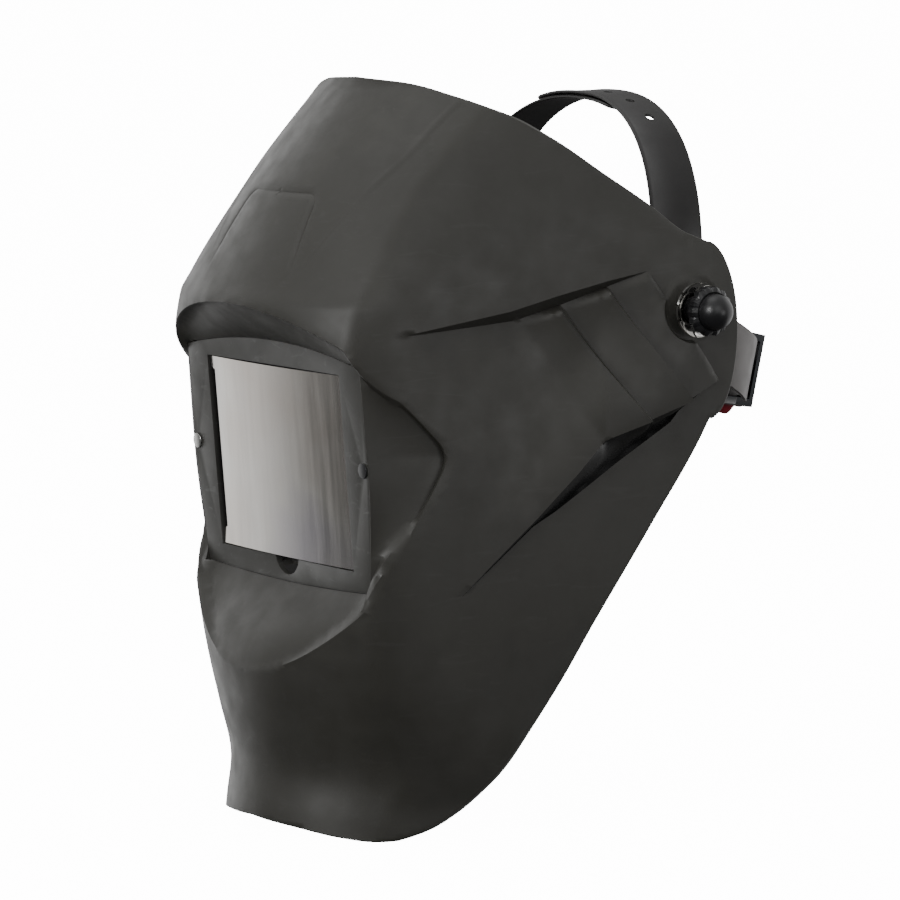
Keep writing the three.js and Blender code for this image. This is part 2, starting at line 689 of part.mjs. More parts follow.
// ---------------------------------------------------------------- headgear
const RING_NORMAL = new THREE.Vector3(0, RING_SLOPE, 1).normalize();

function ringPoint(degrees, outwards) {
  const turn = THREE.MathUtils.degToRad(degrees);
  const power = 2 / RING_POWER;
  const sine = Math.sign(Math.sin(turn)) * Math.abs(Math.sin(turn)) ** power;
  const cosine = Math.sign(Math.cos(turn)) * Math.abs(Math.cos(turn)) ** power;
  const x = (RING_HALF_WIDTH + outwards) * sine;
  const y = RING_MIDDLE - (RING_HALF_LENGTH + outwards) * cosine;
  return new THREE.Vector3(x, y, RING_DROP - RING_SLOPE * (y - RING_MIDDLE));
}

function ringStrap(reach, outwards, height, thickness, steps) {
  const path = [];
  for (let i = 0; i <= steps; i += 1) {
    path.push(ringPoint(THREE.MathUtils.lerp(-reach, reach, i / steps), outwards));
  }
  return strap(path, RING_NORMAL, height, thickness);
}

function headband() {
  const height = (t) => {
    const side = Math.min(Math.abs(2 * t - 1) / 0.6, 1);
    return THREE.MathUtils.lerp(BAND_HEIGHT_FRONT, BAND_HEIGHT_SIDE, side * side);
  };
  const band = ringStrap(BAND_END, 0, height, BAND_THICKNESS, 44);
  const rivetHole = cylinderX(RIVET_RADIUS + 0.3, -100, 100, 16).translate(0, RIVET_Y, RIVET_Z);
  return cut(band, rivetHole);
}

function rivet() {
  return join(
    cylinderX(RIVET_RADIUS, 76, HANGER[1] + 0.8, 16),
    cylinderX(3.2, HANGER[1] + 0.3, HANGER[1] + 1.3, 20),
  ).translate(0, RIVET_Y, RIVET_Z);
}

// Half an arch over the crown, from its foot on one side up past the top.
function crownPath(lift, reach) {
  const path = [];
  const addPoint = (x, z) => {
    const height = THREE.MathUtils.clamp((z - 20) / (CROWN_TOP - 20), 0, 1);
    path.push(new THREE.Vector3(x, 5.5 + 8.5 * height * height, z));
  };
  for (let i = 0; i < 3; i += 1) addPoint(CROWN_X[0], THREE.MathUtils.lerp(CROWN_FOOT, 18, i / 3));
  const power = 2 / 2.3;
  for (let i = 0; i <= 22; i += 1) {
    const degrees = THREE.MathUtils.lerp(0, reach, i / 22);
    const turn = THREE.MathUtils.degToRad(degrees);
    const cosine = Math.sign(Math.cos(turn)) * Math.abs(Math.cos(turn)) ** power;
    const sine = Math.sin(turn) ** power;
    addPoint(CROWN_X[0] * cosine, 18 + (CROWN_TOP - 18 + lift * sine) * sine);
  }
  return path;
}

function crownStrap(lift, reach, holes) {
  const width = (t) => THREE.MathUtils.lerp(31, 25, Math.min(t * 1.4, 1));
  const body = strap(crownPath(lift, reach), new THREE.Vector3(0, -1, 0), width, CROWN_THICKNESS);
  const tools = holes.map((x) => cylinderY(2.2, -20, 20, 12).rotateX(Math.PI / 2).translate(x, 14, 100));
  return cut(body, cylinderX(7.2, 70, 90), ...tools);
}

// Two tails slide through the nape housing in two layers. Each has a slot for the pinion,
// toothed along its upper edge (side 1) or its lower edge (side -1).
function tail(side) {
  const face = side > 0 ? -GAP : GAP + TAIL_THICKNESS;
  const path = [];
  for (let i = 0; i <= 4; i += 1) {
    path.push(new THREE.Vector3(THREE.MathUtils.lerp(-12, NAPE_STRAIGHT, i / 4), face, 0));
  }
  const addPoint = (x, forward) => path.push(new THREE.Vector3(x, face - forward, TAIL_SLOPE * forward));
  for (let i = 1; i <= 12; i += 1) {
    const turn = i * Math.PI / 24;
    const x = NAPE_STRAIGHT + (NAPE_SIDE - NAPE_STRAIGHT) * Math.sin(turn);
    addPoint(x, NAPE_SWEEP * (1 - Math.cos(turn)));
  }
  for (let i = 1; i <= 4; i += 1) addPoint(NAPE_SIDE, NAPE_SWEEP + 3.4 * i);
  const width = (t) => THREE.MathUtils.lerp(...TAIL_WIDTH, THREE.MathUtils.clamp((t - 0.4) / 0.05, 0, 1));
  const body = strap(path, new THREE.Vector3(0, 0, 1), width, TAIL_THICKNESS);
  const slot = block([-9, -10, -5.7], [14, 10, 5.7]);
  const teeth = [];
  for (let i = -2; i <= 4; i += 1) {
    teeth.push(rackTooth(i * TOOTH_PITCH, side).translate(0, face - TAIL_THICKNESS / 2, 0));
  }
  return join(cut(body, slot), ...teeth);
}

function rackTooth(x, side) {
  const outline = [
    [x - 0.95, 6.2], [x - 0.95, 5.4], [x - 0.3, 4.3], [x + 0.3, 4.3], [x + 0.95, 5.4], [x + 0.95, 6.2],
  ];
  const upper = plate(outline, -TAIL_THICKNESS / 2, TAIL_THICKNESS / 2);
  return side > 0 ? upper : upper.rotateY(Math.PI).translate(2 * x, 0, 0);
}

function pinion() {
  const outline = [];
  for (let i = 0; i < PINION_TEETH; i += 1) {
    const middle = (i + 0.5) * 2 * Math.PI / PINION_TEETH + Math.PI / 2;
    for (const [radius, offset] of [[3.9, -0.2], [5.0, -0.09], [5.0, 0.09], [3.9, 0.2]]) {
      outline.push([radius * Math.cos(middle + offset), radius * Math.sin(middle + offset)]);
    }
  }
  const gear = plate(outline, -2.1, 2.3);
  return cut(join(gear, cylinderY(3.5, 2, 9)), cylinderY(1.8, 4, 12, 16));
}

function ratchetKnob() {
  const outline = [];
  for (let i = 0; i < 64; i += 1) {
    const turn = i * Math.PI / 32;
    const radius = RATCHET_KNOB_RADIUS - KNOB_LOBE + KNOB_LOBE * Math.cos(8 * turn);
    outline.push([radius * Math.cos(turn), radius * Math.sin(turn)]);
  }
  const body = plate(outline, 6.4, 16);
  const face = cylinderY(RATCHET_KNOB_RADIUS - 4.5, 14.6, 20, 32);
  const socket = cylinderY(3.8, 5, 9.4);
  return cut(body, face, socket, cylinderY(1.8, 5, 20, 16), cylinderY(3.7, 12.4, 20));
}

const nape = new THREE.Group();
nape.position.set(0, NAPE_Y, NAPE_Z);
nape.rotation.x = NAPE_LEAN;
headgear.add(nape);

// How far the curve round the nape has come forwards at a distance from the middle.
function napeForward(x) {
  const share = Math.max(Math.abs(x) - NAPE_STRAIGHT, 0) / (NAPE_SIDE - NAPE_STRAIGHT);
  return NAPE_SWEEP * (1 - Math.sqrt(Math.max(1 - share * share, 0)));
}

// A body that follows that curve, between two distances from it and two heights.
function curvedBlock(half, front, back, bottom, top) {
  const edge = (i, depth) => new THREE.Vector2(half * i / 16, depth - napeForward(half * i / 16));
  const outline = [];
  for (let i = -16; i <= 16; i += 1) outline.push(edge(i, front));
  for (let i = 16; i >= -16; i -= 1) outline.push(edge(i, back));
  const shape = new THREE.Shape(outline);
  return new THREE.ExtrudeGeometry(shape, { depth: top - bottom, bevelEnabled: false })
    .translate(0, 0, bottom);
}

function ratchetBase() {
  const top = HOUSING_TOP - HOUSING_WALL - GAP;
  const bottom = HOUSING_BOTTOM + HOUSING_WALL + GAP;
  const back = block([-BASE_HALF, -5, bottom], [BASE_HALF, -2.9, top]);
  return join(back, block([-BASE_HALF, -3.2, TAIL_WIDTH[0] / 2 + GAP], [BASE_HALF, 2.2, top]));
}

function ratchetCover() {
  const shape = curvedBlock(HOUSING_HALF, -5.4, 5, HOUSING_BOTTOM, HOUSING_TOP);
  const inside = [HOUSING_BOTTOM + HOUSING_WALL, HOUSING_TOP - HOUSING_WALL];
  const hollow = curvedBlock(HOUSING_HALF + 9, -12, 2.6, ...inside);
  return cut(shape, hollow, cylinderY(4, 0, 10));
}

function detentSpring() {
  const ring = cylinderY(8.5, 5.3, 6.0, 32);
  const fingers = block([-13, 5.3, -2], [13, 6.0, 2]);
  return cut(join(ring, fingers), cylinderY(4.2, 4, 8));
}

function ratchetScrew() {
  return join(cylinderY(1.5, 5, 12.9, 16), cylinderY(3.2, 12.7, 14.2, 20));
}

add(headgear, 'headband', headband(), bandPlastic);
add(headgear, 'sweatband', ringStrap(64, -5.2, () => 33, 4.8, 28), padFoam);

for (const side of [1, -1]) {
  onSide('pivot_stud', side, headgear, pivotStud(), steel);
  onSide('hanger_plate', side, headgear, hanger(), blackPlastic);
  onSide('hanger_rivet', side, headgear, rivet(), steel);
  onSide('tilt_stop_plate', side, headgear, stopPlate(), blackPlastic);
  onSide('friction_washer', side, headgear, frictionWasher(), fibre);
  onSide('spring_cup', side, visor, springCup(), chrome);
  onSide('tension_knob', side, headgear, tensionKnob(), blackPlastic);
  onSide('nape_tail', side, nape, tail(side), bandPlastic);
}
add(headgear, 'crown_strap_left', crownStrap(2.4, 112, [46, 30, 12, -8]), bandPlastic);
add(headgear, 'crown_strap_right', mirrored(crownStrap(0, 112, [-12, 8])), bandPlastic);

add(nape, 'ratchet_base', ratchetBase(), bandPlastic);
add(nape, 'ratchet_cover', ratchetCover(), bandPlastic);
add(nape, 'ratchet_pinion', pinion(), blackPlastic);
add(nape, 'detent_spring', detentSpring(), steel);
add(nape, 'ratchet_knob', ratchetKnob(), redPlastic);
add(nape, 'ratchet_screw', ratchetScrew(), steel);
add(nape, 'nape_pad', block([-27, -9.4, -9], [27, -5.8, 17]), padFoam);

export default helmet;
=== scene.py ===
"""Welding helmet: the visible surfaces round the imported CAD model.

Lengths in the shape functions are millimetres in the row frame (+X the wearer's left, -Y the
front, +Z up, origin on the pivot axis). mesh_piece() turns them into metres.
"""
import json
import math

import bmesh
import bpy
import numpy as np
from mathutils import Matrix, Vector, kdtree
from mathutils.geometry import delaunay_2d_cdt


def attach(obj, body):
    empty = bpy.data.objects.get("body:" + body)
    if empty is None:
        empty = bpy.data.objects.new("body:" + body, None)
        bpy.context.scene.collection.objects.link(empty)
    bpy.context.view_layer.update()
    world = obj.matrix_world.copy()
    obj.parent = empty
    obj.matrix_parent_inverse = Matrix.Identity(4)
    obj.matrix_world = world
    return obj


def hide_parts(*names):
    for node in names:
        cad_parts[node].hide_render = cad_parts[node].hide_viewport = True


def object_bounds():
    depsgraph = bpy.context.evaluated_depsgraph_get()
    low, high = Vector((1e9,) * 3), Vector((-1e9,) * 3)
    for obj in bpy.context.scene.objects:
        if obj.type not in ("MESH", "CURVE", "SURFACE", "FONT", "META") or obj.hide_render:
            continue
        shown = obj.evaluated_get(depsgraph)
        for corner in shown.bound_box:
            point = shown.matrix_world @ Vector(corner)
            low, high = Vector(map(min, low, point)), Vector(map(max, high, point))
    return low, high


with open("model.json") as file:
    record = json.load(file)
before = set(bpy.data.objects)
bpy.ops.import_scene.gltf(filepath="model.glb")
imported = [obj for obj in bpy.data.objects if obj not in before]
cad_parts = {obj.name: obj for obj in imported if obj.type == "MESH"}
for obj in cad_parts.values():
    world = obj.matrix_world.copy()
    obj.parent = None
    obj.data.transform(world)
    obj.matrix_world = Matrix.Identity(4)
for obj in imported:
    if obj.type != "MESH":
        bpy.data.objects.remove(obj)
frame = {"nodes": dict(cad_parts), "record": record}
CAD_BOX = [list(corner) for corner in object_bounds()]
BODY_OF = {node: body for body, nodes in frame["record"]["behaviour"]["bodies"].items() for node in nodes}
MM = 0.001

# ---------------------------------------------------------------- driving dimensions, as in the CAD
WALL = 2.6
FRONT = [(-250, 185), (-234, 183), (-215, 180), (-190, 184), (-172, 186.5), (-156, 188), (-128, 190),
         (-60, 196), (-20, 199), (5, 196.5), (14, 191.5), (54, 167.5), (106, 124.5)]
BULGE = [(-250, 78), (-232, 79), (-213, 84), (-190, 97), (-172, 112), (-156, 125), (-128, 140),
         (-60, 150), (-20, 150), (14, 140), (54, 110), (106, 92)]
CHEEK = [(-250, 79), (-232, 81), (-212, 86.5), (-171, 92.5), (-118, 97), (-60, 99), (0, 99),
         (50, 96), (88, 91), (106, 87)]
CORNER = [(-250, 10), (-170, 18), (-60, 24), (5, 23), (54, 28), (106, 12)]
TAPER = 0.085
RIM_TOP = [(0, 107.5), (14.6, 105.9), (28.2, 100.2), (40.6, 91.8), (49.6, 81.4), (63.4, 64.1),
           (78.8, 47.4), (89.1, 35.2), (95.8, 30.5)]
RIM_BOTTOM = [(0, -236.5), (9, -238.4), (16.6, -241.6), (23, -243.4), (27, -240.2), (30.9, -233.3),
              (34.7, -224.8), (39.4, -213.5), (45.7, -193.5), (52.5, -172), (61.2, -144.5),
              (77.4, -101), (92, -63.6), (95.8, -52)]
EAR_START, EAR_END, EAR_HEIGHT = 95.8, 104.1, -11

PANEL_FRONT, PANEL_MIDDLE, PANEL_SLOPE = -167, -67.8, 0.088
PANEL_LEAN = math.atan(PANEL_SLOPE)
APEX_FRONT, APEX_HEIGHT = -131, -62
BROW_ROUND, LIP_ROUND = 0.16, 0.5        # rounding of the recess's edges, in shares of its slopes
FRAME_PLATE = 2.6
FRAME_TOP, FRAME_BOTTOM = 54.8, -60.3
FRAME_HALF_TOP, FRAME_HALF_MIDDLE, FRAME_HALF_BOTTOM = 75, 77, 71
FRAME_HEAD_DROP, FRAME_FOOT_RISE = 7.5, 2.5     # how far the frame's ends lie from its middle
WINDOW_MIDDLE = -2.9
COVER_WIDTH, COVER_HEIGHT, COVER_BOW = 114.4, 90.8, 1.8
COLLAR_HALF_WIDTH, COLLAR_TOP, COLLAR_BOTTOM = 69.4, 48.4, -54.2
PIN_X = 73
POCKET_GAP, COLLAR_GAP = 0.14, 0.8      # clearance round the frame and its collar

LINE_UPPER = [(-158, -6.5), (-97.4, 3), (-72, 9.2), (-45, 15), (-23.6, 18.8)]
LINE_TOP = [(-158, -6.5), (-97, -1.8), (-71.4, 4.5), (-45, 12.2), (-23.6, 18.8), (15, -33.4)]
LINE_LOW = [(-123, -129.5), (-81.3, -93), (-61.4, -73.5), (-48.6, -58.7), (-24.7, -50.2),
            (-2.8, -41.9), (15, -33.4)]
LINE_BORDER = [(-123, -129.5), (-84.5, -97.5), (-73.3, -91.5), (-55.3, -80), (-40, -70),
               (-11.5, -53), (-6.6, -47.5), (15, -33.4)]
SINK = [(-158, 0), (-97, 5.5), (-71.4, 5), (-45, 3), (-23.6, 0)]
RISE = [(-123, 0), (-81, 2.5), (-61.4, 6), (-48.6, 8.5), (-24.7, 7.5), (-2.8, 4.5), (15, 0)]
SLAT_EDGES = [((-97, -1.8), (-48.6, -58.7)), ((-71.4, 4.5), (-24.7, -50.2)),
              ((-45, 12.2), (-2.8, -41.9)), ((-23.6, 18.8), (15, -33.4))]
SLAT_LIFT = [4.6, 4.6, 2.0]
SLAT_DROP = 1.1                 # width of the step behind a slat
RELIEF_REACH = 60               # how far the cheek's rise and sink fade out
WEDGE_LIP, WEDGE_FOOT = 2.2, 0.16   # depth and share of the groove along the wedge's foot

PLATE_FOOT, PLATE_HEAD = 13.5, 56        # forehead plate, heights
PLATE_HALF_FOOT, PLATE_HALF_HEAD = 36.5, 27.5
PLATE_CORNER = 6
PLATE_GROOVE = 0.6
FOLD_HEIGHT, FOLD_WIDTH = 0.4, 1.3      # ridge beside the plate

STUD_RADIUS, STUD_GAP = 4, 0.8
CUP_BASE, CUP_RIM, CUP_RADIUS = 99.0, 105.6, 13.2
KNOB_START, KNOB_END = 101.2, 126
KNOB_FLANGE_RADIUS, KNOB_DOME_RADIUS = 11.5, 8.4
SEAT_RADIUS, SEAT_X = 14.6, 98.6

RING_HALF_WIDTH, RING_HALF_LENGTH, RING_MIDDLE, RING_POWER = 76, 96, -6, 2.5
RING_SLOPE, RING_DROP = 0.37, -3
CROWN_X, CROWN_TOP, CROWN_FOOT, CROWN_THICKNESS = 79.3, 95, -14, 1.5
CROWN_BEND, CROWN_REACH, CROWN_POWER = 18, 112, 2.3     # start, end in degrees and squareness of its arch
PEG_HOLE_RADIUS = 2.2
STRAP_BEAD = 0.25                       # how far a strap's middle lies below its edges
NAPE_Y, NAPE_Z, NAPE_LEAN = 85.1, -43.4, math.radians(-13)
RATCHET_KNOB_RADIUS, KNOB_LOBE = 18.5, 1.6
KNOB_POINTS = 192                       # points round the ratchet knob
PAD_FILL, PAD_VOXEL, PAD_PRESSURE, PAD_FRAMES = 0.6, 0.0024, 4, 20


# ---------------------------------------------------------------- small maths
def curve(x, knots):
    """Smooth curve through knots that never overshoots them."""
    xs, ys = np.array(knots, float).T
    step = np.diff(xs)
    rise = np.diff(ys) / step
    slope = np.zeros_like(ys)
    slope[0], slope[-1] = rise[0], rise[-1]
    for i in range(1, len(xs) - 1):
        if rise[i - 1] * rise[i] > 0:
            before, after = 2 * step[i] + step[i - 1], step[i] + 2 * step[i - 1]
            slope[i] = (before + after) / (before / rise[i - 1] + after / rise[i])
    x = np.clip(x, xs[0], xs[-1])
    i = np.clip(np.searchsorted(xs, x) - 1, 0, len(xs) - 2)
    t = (x - xs[i]) / step[i]
    left = ys[i] * (2 * t**3 - 3 * t**2 + 1) + step[i] * slope[i] * (t**3 - 2 * t**2 + t)
    right = ys[i + 1] * (3 * t**2 - 2 * t**3) + step[i] * slope[i + 1] * (t**3 - t**2)
    return left + right


def polyline(x, knots):
    xs, ys = np.array(knots, float).T
    return np.interp(x, xs, ys)


def rounded_min(a, b, radius):
    h = np.maximum(radius - np.abs(a - b), 0) / radius
    return np.minimum(a, b) - h * h * radius / 4


def rounded_max(a, b, radius):
    return -rounded_min(-a, -b, radius)


def signed_power(value, power):
    return math.copysign(abs(value) ** power, value)


def ease(x):
    x = np.clip(x, 0, 1)
    return x * x * (3 - 2 * x)


# ---------------------------------------------------------------- visor surface
def shell_base(angle, z):
    radius = curve(z, BULGE)
    centre = curve(z, FRONT) - radius
    sine, cosine = np.sin(angle), np.cos(angle)
    square = radius**2 - (centre * sine) ** 2
    front = np.where((square > 0) & (cosine > 0), centre * cosine + np.sqrt(np.maximum(square, 0)), 1000)
    cheek = curve(z, CHEEK) / np.maximum(sine + TAPER * cosine, 0.05)
    return rounded_min(front, cheek, curve(z, CORNER))


def recess_fields(angle, z, base):
    """Distance to the recess's floor, share of the way up its edges, panel less facet, and inside."""
    sine, cosine = np.sin(angle), np.maximum(np.cos(angle), 0.2)
    x, y = base * sine, -base * np.cos(angle)
    panel_y = PANEL_FRONT - PANEL_SLOPE * (z - PANEL_MIDDLE)
    panel_x = curve(z, [(-128, FRAME_HALF_BOTTOM), (-70, FRAME_HALF_MIDDLE), (-20, FRAME_HALF_TOP + 1)])
    above = z - APEX_HEIGHT
    facet_y = np.maximum(APEX_FRONT - np.where(above > 0, above, -0.56 * above), panel_y + 6)
    facet_x = curve(z, CHEEK) + TAPER * facet_y - 3.4
    across = sine * (facet_y - panel_y) + cosine * (facet_x - panel_x)
    facet = (panel_x * (facet_y - panel_y) - panel_y * (facet_x - panel_x)) / np.maximum(across, 1)
    facet = np.where(across > 1, facet, 1000)
    floor = np.minimum(-panel_y / cosine, facet)
    floor_x = floor * sine
    brow_inner = -13 - 7.5 * (floor_x / 75) ** 2
    brow_outer = curve(x, [(0, 5.8), (30, 5), (51, 2.2), (63, -2.2), (73, -10.3), (78, -19.5), (86, -38)])
    lip_inner = -128.1 + 2.5 * (floor_x / 72) ** 2
    lip_outer = curve(x, [(0, -157.5), (40, -155), (64, -146.6), (75, -128), (80, -115), (88, -90)])
    upper = 1 + (z - brow_outer) / np.maximum(brow_outer - brow_inner, 4)
    lower = 1 + (lip_outer - z) / np.maximum(lip_inner - lip_outer, 9)
    past_upper = ((y - APEX_FRONT) + above) / math.sqrt(2)
    past_lower = ((y - APEX_FRONT) - 0.56 * above) / 1.146
    side = (rounded_max(past_upper, past_lower, 9) + 1) / 2.5
    inside = (z < 12) & (z > -178) & (np.cos(angle) > 0.5) & (x < 90)
    share = rounded_max(rounded_max(upper, lower, 0.2), side, 0.25)
    bend = -panel_y / cosine - facet
    return floor, share, bend, inside


def behind_line(line, y, z):
    (y0, z0), (y1, z1) = line
    return ((y0 - y) * (z1 - z0) + (z - z0) * (y1 - y0)) / math.hypot(y1 - y0, z1 - z0)


def cheek_lines(y):
    return [polyline(y, line) for line in (LINE_UPPER, LINE_TOP, LINE_LOW, LINE_BORDER)]


def cheek_relief(y, z):
    """Two wedge-shaped steps that open towards the rear, with three overlapping slats between."""
    upper, top, low, border = cheek_lines(y)
    sink, rise = polyline(y, SINK), polyline(y, RISE)
    level = np.clip(z, low, np.maximum(top, low))
    hollow = -sink * (1 - ease((top - level) / RELIEF_REACH))
    relief = hollow + rise * (1 - ease((level - low) / RELIEF_REACH))
    behind = [behind_line(edge, y, level) for edge in SLAT_EDGES]
    for i, lift in enumerate(SLAT_LIFT):
        start, end = behind[i], -behind[i + 1]
        inside = (start >= 0) & (end > 0)
        ramp = lift * (np.maximum(start, 0) / np.maximum(start + end, 1)) ** 1.15
        drop = np.clip(end / SLAT_DROP, 0, 1)
        relief = relief + np.where(inside, ramp * drop * np.clip((top - level) / 3, 0, 1), 0)
    band = relief * np.clip((upper - z) / np.maximum(upper - top, 0.3), 0, 1)
    gap = np.maximum(low - border, 0.3)
    lip = np.minimum(WEDGE_LIP, gap * 0.25)
    height = (z - border) / gap
    foot = -lip * np.clip(height / WEDGE_FOOT, 0, 1)
    wall = foot + (relief + lip) * np.clip((height - WEDGE_FOOT) / (1 - WEDGE_FOOT), 0, 1)
    relief = np.where(z > top, band, np.where(z < low, wall, relief))
    end = np.clip(-behind_line(SLAT_EDGES[3], y, z) / SLAT_DROP, 0, 1)
    return relief * np.where(y > -60, end, 1) * ((y > -158) & (y < 15))


def plate_distance(x, z):
    """How far a point of the forehead is inside the outline of its raised plate."""
    narrowing = (PLATE_HALF_HEAD - PLATE_HALF_FOOT) * (z - PLATE_FOOT) / (PLATE_HEAD - PLATE_FOOT)
    half = PLATE_HALF_FOOT + narrowing
    return rounded_min(half - np.abs(x), PLATE_HEAD - z, PLATE_CORNER)


def fold_distance(x, z):
    """Distance from the fine ridge that runs down each side of the forehead."""
    return np.abs(x) - curve(z, [(25, 41.7), (46, 49), (62, 53.6), (76, 58.5), (92, 60.6), (98, 62)])


def forehead_relief(x, z):
    """A shallow plate with a fine groove round it, open at its foot, and a ridge beside it."""
    inside = plate_distance(x, z)
    fade = ease((z - PLATE_FOOT) / 26)
    groove = -PLATE_GROOVE * np.clip(1 - np.abs(inside) / 1.1, 0, 1)
    plate = 0.35 * np.clip(inside / 1.1, 0, 1)
    ridge = FOLD_HEIGHT * ease((z - 16) / 30) * np.clip(1 - np.abs(fold_distance(x, z)) / FOLD_WIDTH, 0, 1)
    return (groove + plate) * fade + ridge


def outer_radius(angle, z):
    base = shell_base(angle, z)
    sine, cosine = np.sin(angle), np.cos(angle)
    floor, share, _, inside = recess_fields(angle, z, base)
    share = np.maximum(rounded_min(share, 1, np.where(z < APEX_HEIGHT, LIP_ROUND, BROW_ROUND)), 0)
    radius = np.where(inside & (floor < base), floor + (base - floor) * share, base)
    y = -base * cosine
    relief = np.where(angle > 0.45, cheek_relief(y, z), 0)
    rho = np.hypot(y, z)
    flat = SEAT_X - base * sine
    relief = relief + (flat - relief) * np.clip((SEAT_RADIUS + 1.4 - rho) / 1.5, 0, 1)
    front = np.where((z > 8) & (cosine > 0), forehead_relief(base * sine, z), 0)
    return radius + front + relief / np.maximum(sine + TAPER * cosine, 0.3)


def inner_radius(angle, z):
    """The wall behind the outer surface: the lowest outer point nearby, less the wall thickness."""
    turn, rise = 0.022, 2.4
    around = [outer_radius(np.abs(angle + i * turn), z + j * rise) for i in (-1, 0, 1) for j in (-1, 0, 1)]
    slope = (around[7] - around[1]) / (2 * turn)
    climb = (around[5] - around[3]) / (2 * rise)
    stretch = np.minimum(np.sqrt(1 + (slope / around[4]) ** 2 + climb**2), 1.8)
    return np.min(around, axis=0) - (WALL - 0.6) * stretch


def rim_height(degrees, knots):
    plain = curve(degrees, knots)
    t = np.clip((degrees - EAR_START) / (EAR_END - EAR_START), 0, 1)
    ear = EAR_HEIGHT + (knots[-1][1] - EAR_HEIGHT) * np.sqrt(1 - t * t)
    return np.where(degrees <= EAR_START, plain, ear)


# ---------------------------------------------------------------- meshes
def plain_mesh(name, points, faces):
    """A mesh from millimetre points."""
    mesh = bpy.data.meshes.new(name)
    corners = [tuple(p) for p in np.asarray(points, float) * MM]
    mesh.from_pydata(corners, [], [tuple(map(int, f)) for f in faces])
    return mesh


def linked(name, data):
    thing = bpy.data.objects.new(name, data)
    bpy.context.scene.collection.objects.link(thing)
    return thing


def face_outwards(mesh):
    shaped = bmesh.new()
    shaped.from_mesh(mesh)
    bmesh.ops.recalc_face_normals(shaped, faces=shaped.faces)
    shaped.to_mesh(mesh)
    shaped.free()


def mesh_piece(name, points, faces, materials, body, nodes=(), slot=None, sharp=35, face_material=None):
    """A mesh from millimetre points, riding on its CAD body and standing for its CAD nodes."""
    mesh = plain_mesh(name, points, faces)
    mesh.validate()
    for entry in materials if isinstance(materials, list) else [materials]:
        mesh.materials.append(entry)
    if face_material is not None:
        mesh.polygons.foreach_set("material_index", np.asarray(face_material, np.int32))
    return finish_piece(mesh, name, body, nodes, sharp)


def finish_piece(mesh, name, body, nodes, sharp):
    face_outwards(mesh)
    mesh.shade_smooth()
    mesh.set_sharp_from_angle(angle=math.radians(sharp))
    piece = linked(name, mesh)
    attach(piece, body)
    if nodes:
        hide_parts(*nodes)
    return piece


def apply_modifiers(piece):
    evaluated = piece.evaluated_get(bpy.context.evaluated_depsgraph_get())
    made = bpy.data.meshes.new_from_object(evaluated)
    piece.modifiers.clear()
    piece.data = made


def carve(piece, *cutters):
    """Cuts closed meshes, each given as (points, faces), out of a piece."""
    for i, (points, faces) in enumerate(cutters):
        mesh = plain_mesh(f"cutter{i}", points, faces)
        face_outwards(mesh)
        tool = linked(f"cutter{i}", mesh)
        modifier = piece.modifiers.new("cut", "BOOLEAN")
        modifier.operation, modifier.solver, modifier.object = "DIFFERENCE", "EXACT", tool
        bpy.context.view_layer.update()
        apply_modifiers(piece)
        bpy.data.objects.remove(tool)
    piece.data.shade_smooth()
    piece.data.set_sharp_from_angle(angle=math.radians(35))


def refined(node, material, width=0.35, segments=2):
    """A CAD node's own shape with its sharp edges rounded."""
    shaped = bmesh.new()
    shaped.from_mesh(frame["nodes"][node].data)
    bmesh.ops.remove_doubles(shaped, verts=shaped.verts, dist=2e-5)
    bmesh.ops.dissolve_limit(shaped, angle_limit=math.radians(1.5), verts=shaped.verts, edges=shaped.edges)
    sharp = [e for e in shaped.edges if len(e.link_faces) == 2 and e.calc_face_angle() > math.radians(38)]
    bmesh.ops.bevel(shaped, geom=sharp, offset=width * MM, segments=segments, profile=0.5,
                    affect="EDGES", clamp_overlap=True)
    bmesh.ops.triangulate(shaped, faces=[f for f in shaped.faces if len(f.verts) > 4])
    mesh = bpy.data.meshes.new(f"{node}_detail")
    shaped.to_mesh(mesh)
    shaped.free()
    mesh.materials.clear()
    mesh.materials.append(material)
    return finish_piece(mesh, f"{node}_detail", BODY_OF[node], [node], 32)


def grid(rows, closed_along=False, caps=True):
    """Points and faces of a stack of closed point rows, all of one length."""
    count, size = len(rows), len(rows[0])
    points = np.concatenate([np.asarray(r, float) for r in rows])
    faces = []
    for i in range(count if closed_along else count - 1):
        for j in range(size):
            a, b = i * size + j, i * size + (j + 1) % size
            c, d = ((i + 1) % count) * size + (j + 1) % size, ((i + 1) % count) * size + j
            faces.append((a, b, c, d))
    if caps and not closed_along:
        faces += [tuple(range(size))[::-1], tuple(range((count - 1) * size, count * size))]
    return points, faces


def turned_x(profile, segments=96, wobble=None):
    """A body of revolution about X. profile is a closed loop of (radius, x)."""
    rows = []
    for i in range(segments):
        turn = 2 * math.pi * i / segments
        ring = []
        for radius, x in profile:
            r = radius + (wobble(turn, radius) if wobble else 0)
            ring.append((x, r * math.cos(turn), r * math.sin(turn)))
        rows.append(ring)
    return grid(rows, closed_along=True, caps=False)


def prism_y(outline, start, end):
    """A straight prism along Y from an outline in X and Z."""
    return grid([[(x, y, z) for x, z in outline] for y in (start, end)])


def circle(radius, x=0, count=48):
    turns = [2 * math.pi * i / count for i in range(count)]
    return [(x + radius * math.cos(t), radius * math.sin(t)) for t in turns]


def cylinder_x(radius, start, end):
    return grid([[(x, p, q) for p, q in circle(radius)] for x in (start, end)])


def turned_about_x(points, turn):
    """Points turned about the X axis."""
    x, y, z = np.asarray(points, float).T
    cosine, sine = math.cos(turn), math.sin(turn)
    return np.stack([x, y * cosine - z * sine, y * sine + z * cosine], 1)


def on_panel(solid):
    points, faces = solid
    return turned_about_x(points, PANEL_LEAN) + (0, PANEL_FRONT, PANEL_MIDDLE), faces


